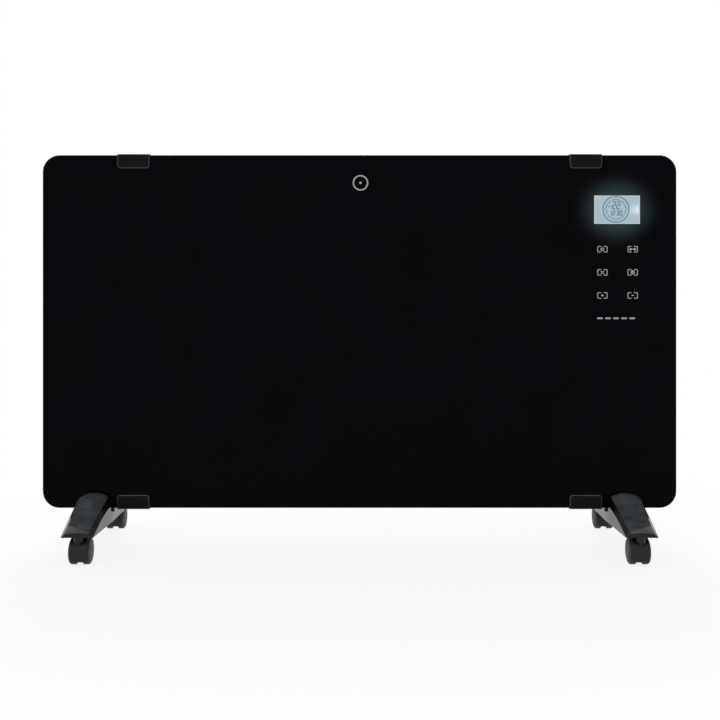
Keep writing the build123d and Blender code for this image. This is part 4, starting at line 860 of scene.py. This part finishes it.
class HEATER_OT_add_touch_marks(HeaterOperator, bpy.types.Operator):
    """Adds the six touch marks, each in its bracket, over the contact springs"""
    bl_idname = "heater.add_touch_marks"
    bl_label = "Add touch marks"

    def build(self, sizes, colours):
        centres = touch_mark_centres()
        add_piece("touch_brackets", screen_printed_ink("ceramic_ink_brackets", colours.ink),
                  lambda mesh: self.draw_brackets(mesh, sizes, centres))
        bright_ink = screen_printed_ink("ceramic_ink_icons", colours.icon_ink)
        for (name, icon), centre in zip(TOUCH_MARKS, centres):
            add_piece(f"touch_icon_{name}", bright_ink,
                      lambda mesh, icon=icon, centre=centre: self.draw_icon(mesh, sizes, icon, *centre))

    def draw_brackets(self, mesh, sizes, centres):
        for x, z in centres:
            self.draw_bracket(mesh, sizes, x, z)

    def draw_icon(self, mesh, sizes, icon, x, z):
        for stroke in icon(x, z):
            add_line(mesh, stroke, ICON_LINE, GLASS_LOW.y, sizes.ink_thickness)

    def draw_bracket(self, mesh, sizes, x, z):
        half_width = (sizes.mark_width - sizes.mark_line) / 2
        half_height = (sizes.mark_height - sizes.mark_line) / 2
        radius = BRACKET_CORNER
        for side in (-1, 1):
            corner_x = x + side * (half_width - radius)
            turn = -90 * side
            end_x = x + side * sizes.mark_gap / 2
            points = [(end_x, z + half_height)]
            points += arc(corner_x, z + half_height - radius, radius, 90, 90 + turn)
            points += arc(corner_x, z - half_height + radius, radius, 90 + turn, 90 + 2 * turn)
            points += [(end_x, z - half_height)]
            add_line(mesh, points, sizes.mark_line, GLASS_LOW.y, sizes.ink_thickness)


class HEATER_OT_add_indicator(HeaterOperator, bpy.types.Operator):
    """Adds the plain ring with a dot at the top middle of the glass"""
    bl_idname = "heater.add_indicator"
    bl_label = "Add indicator ring"

    def build(self, sizes, colours):
        ink = screen_printed_ink("ceramic_ink_indicator_ring", colours.ink)
        x = 1.2 * MM
        z = GLASS_HIGH.z - 36.2 * MM
        ring = circle(x, z, sizes.lamp_ring_radius)
        dot = circle(x, z, RING_DOT_RADIUS, 24)

        def draw(mesh):
            add_line(mesh, ring, RING_LINE, GLASS_LOW.y, sizes.ink_thickness, closed=True)
            add_plate(mesh, dot, GLASS_LOW.y, sizes.ink_thickness)

        add_piece("indicator_ring", ink, draw)


class HEATER_OT_add_level_marks(HeaterOperator, bpy.types.Operator):
    """Adds the row of plain dashes under the touch marks"""
    bl_idname = "heater.add_level_marks"
    bl_label = "Add level marks"

    def build(self, sizes, colours):
        ink = screen_printed_ink("ceramic_ink_level_marks", colours.ink)
        middle_x = CELL_MIDDLE.x - 1.3 * MM
        z = GLASS_HIGH.z - 213.6 * MM
        first_x = middle_x - DASH_PITCH * (sizes.level_marks - 1) / 2

        def draw(mesh):
            for i in range(sizes.level_marks):
                outline = rounded_rectangle(first_x + DASH_PITCH * i, z, DASH_LENGTH, DASH_LINE,
                                            DASH_CORNER)
                add_plate(mesh, outline, GLASS_LOW.y, sizes.ink_thickness)

        add_piece("level_marks", ink, draw)


# Studio

CAMERA_HEIGHT = 0.3521
CAMERA_TO_GLASS = 1.4
SENSOR_WIDTH_MM = 36.0
LENS_MM = 53.45
SHIFT_X = 0.0006
SHIFT_Y = -0.1097
FLOOR_SIZE = 40.0
WORLD_LIGHT = 0.8

# Softboxes: name, place, the point that each faces, width and height in metres, and watts
SOFTBOXES = (
    ("softbox_over_the_back", (0.0, 1.19, 2.0), (0.0, 0.0, 0.1), 1.7, 0.5, 17.0),
    ("softbox_left", (-1.9, -1.5, 1.6), (0.0, 0.0, 0.3), 1.0, 1.0, 7.0),
)


def add_camera():
    """A level camera in front of the glass. Its shifts place the heater in the picture."""
    data = bpy.data.cameras.new("photo_view")
    data.lens = LENS_MM
    data.sensor_width = SENSOR_WIDTH_MM
    data.shift_x = SHIFT_X
    data.shift_y = SHIFT_Y
    data.clip_end = 100.0
    camera = bpy.data.objects.new("photo_view", data)
    camera.location = (0.0, GLASS_LOW.y - CAMERA_TO_GLASS, CAMERA_HEIGHT)
    camera.rotation_euler = (math.pi / 2, 0.0, 0.0)
    bpy.context.scene.collection.objects.link(camera)
    bpy.context.scene.camera = camera


def add_softbox(name, place, target, width, height, watts):
    data = bpy.data.lights.new(name, "AREA")
    data.shape = "RECTANGLE"
    data.size = width
    data.size_y = height
    data.energy = watts
    lamp = bpy.data.objects.new(name, data)
    lamp.location = place
    lamp.rotation_euler = (Vector(target) - Vector(place)).to_track_quat("-Z", "Y").to_euler()
    bpy.context.scene.collection.objects.link(lamp)


def add_surroundings():
    """An even white room: full white where it is seen or mirrored, softer where it lights."""
    world = bpy.data.worlds.new("white_studio_room")
    world.use_nodes = True
    tree = world.node_tree
    tree.nodes.clear()
    light = add_node(tree, "ShaderNodeBackground", {"Strength": WORLD_LIGHT})
    light.inputs["Color"].default_value = (1.0, 1.0, 1.0, 1.0)
    white = add_node(tree, "ShaderNodeBackground", {"Strength": 1.0})
    white.inputs["Color"].default_value = (1.0, 1.0, 1.0, 1.0)
    mix = add_node(tree, "ShaderNodeMixShader",
                   {0: seen_or_mirrored(tree), 1: light.outputs[0], 2: white.outputs[0]})
    add_node(tree, "ShaderNodeOutputWorld", {"Surface": mix.outputs[0]})
    bpy.context.scene.world = world


class HEATER_OT_add_studio(HeaterOperator, bpy.types.Operator):
    """Adds the floor, the soft lamps, the white room and the camera"""
    bl_idname = "heater.add_studio"
    bl_label = "Add studio"

    def build(self, sizes, colours):
        half = FLOOR_SIZE / 2
        shape = bmesh.new()
        shape.faces.new([shape.verts.new((x * half, y * half, 0.0))
                         for x, y in ((-1, -1), (1, -1), (1, 1), (-1, 1))])
        mesh = bpy.data.meshes.new("studio_floor")
        shape.to_mesh(mesh)
        shape.free()
        mesh.materials.append(studio_floor(colours))
        floor = bpy.data.objects.new("studio_floor", mesh)
        bpy.context.scene.collection.objects.link(floor)
        for softbox in SOFTBOXES:
            add_softbox(*softbox)
        add_surroundings()
        add_camera()
        bpy.context.scene.view_settings.view_transform = "Standard"


OPERATORS = (
    HEATER_OT_finish_glass, HEATER_OT_finish_casing, HEATER_OT_finish_feet,
    HEATER_OT_finish_castors, HEATER_OT_finish_inner_parts, HEATER_OT_add_display,
    HEATER_OT_add_touch_marks, HEATER_OT_add_indicator, HEATER_OT_add_level_marks,
    HEATER_OT_add_studio,
)


class HEATER_PT_looks(bpy.types.Panel):
    """Lists the heater's sizes, colours and steps"""
    bl_idname = "HEATER_PT_looks"
    bl_label = "Convector heater"
    bl_space_type = "VIEW_3D"
    bl_region_type = "UI"
    bl_category = "Heater"

    def draw(self, context):
        for group in (context.scene.heater_sizes, context.scene.heater_colours):
            box = self.layout.box()
            for name in group.__annotations__:
                box.prop(group, name)
        for operator in OPERATORS:
            self.layout.operator(operator.bl_idname)


CLASSES = (HeaterSizes, HeaterColours, *OPERATORS, HEATER_PT_looks)


def register():
    for cls in CLASSES:
        bpy.utils.register_class(cls)
    bpy.types.Scene.heater_sizes = PointerProperty(type=HeaterSizes)
    bpy.types.Scene.heater_colours = PointerProperty(type=HeaterColours)


def unregister():
    del bpy.types.Scene.heater_colours
    del bpy.types.Scene.heater_sizes
    for cls in reversed(CLASSES):
        bpy.utils.unregister_class(cls)


def main():
    register()
    for operator in OPERATORS:
        group, name = operator.bl_idname.split(".")
        getattr(getattr(bpy.ops, group), name)()


if __name__ == "__main__":
    main()
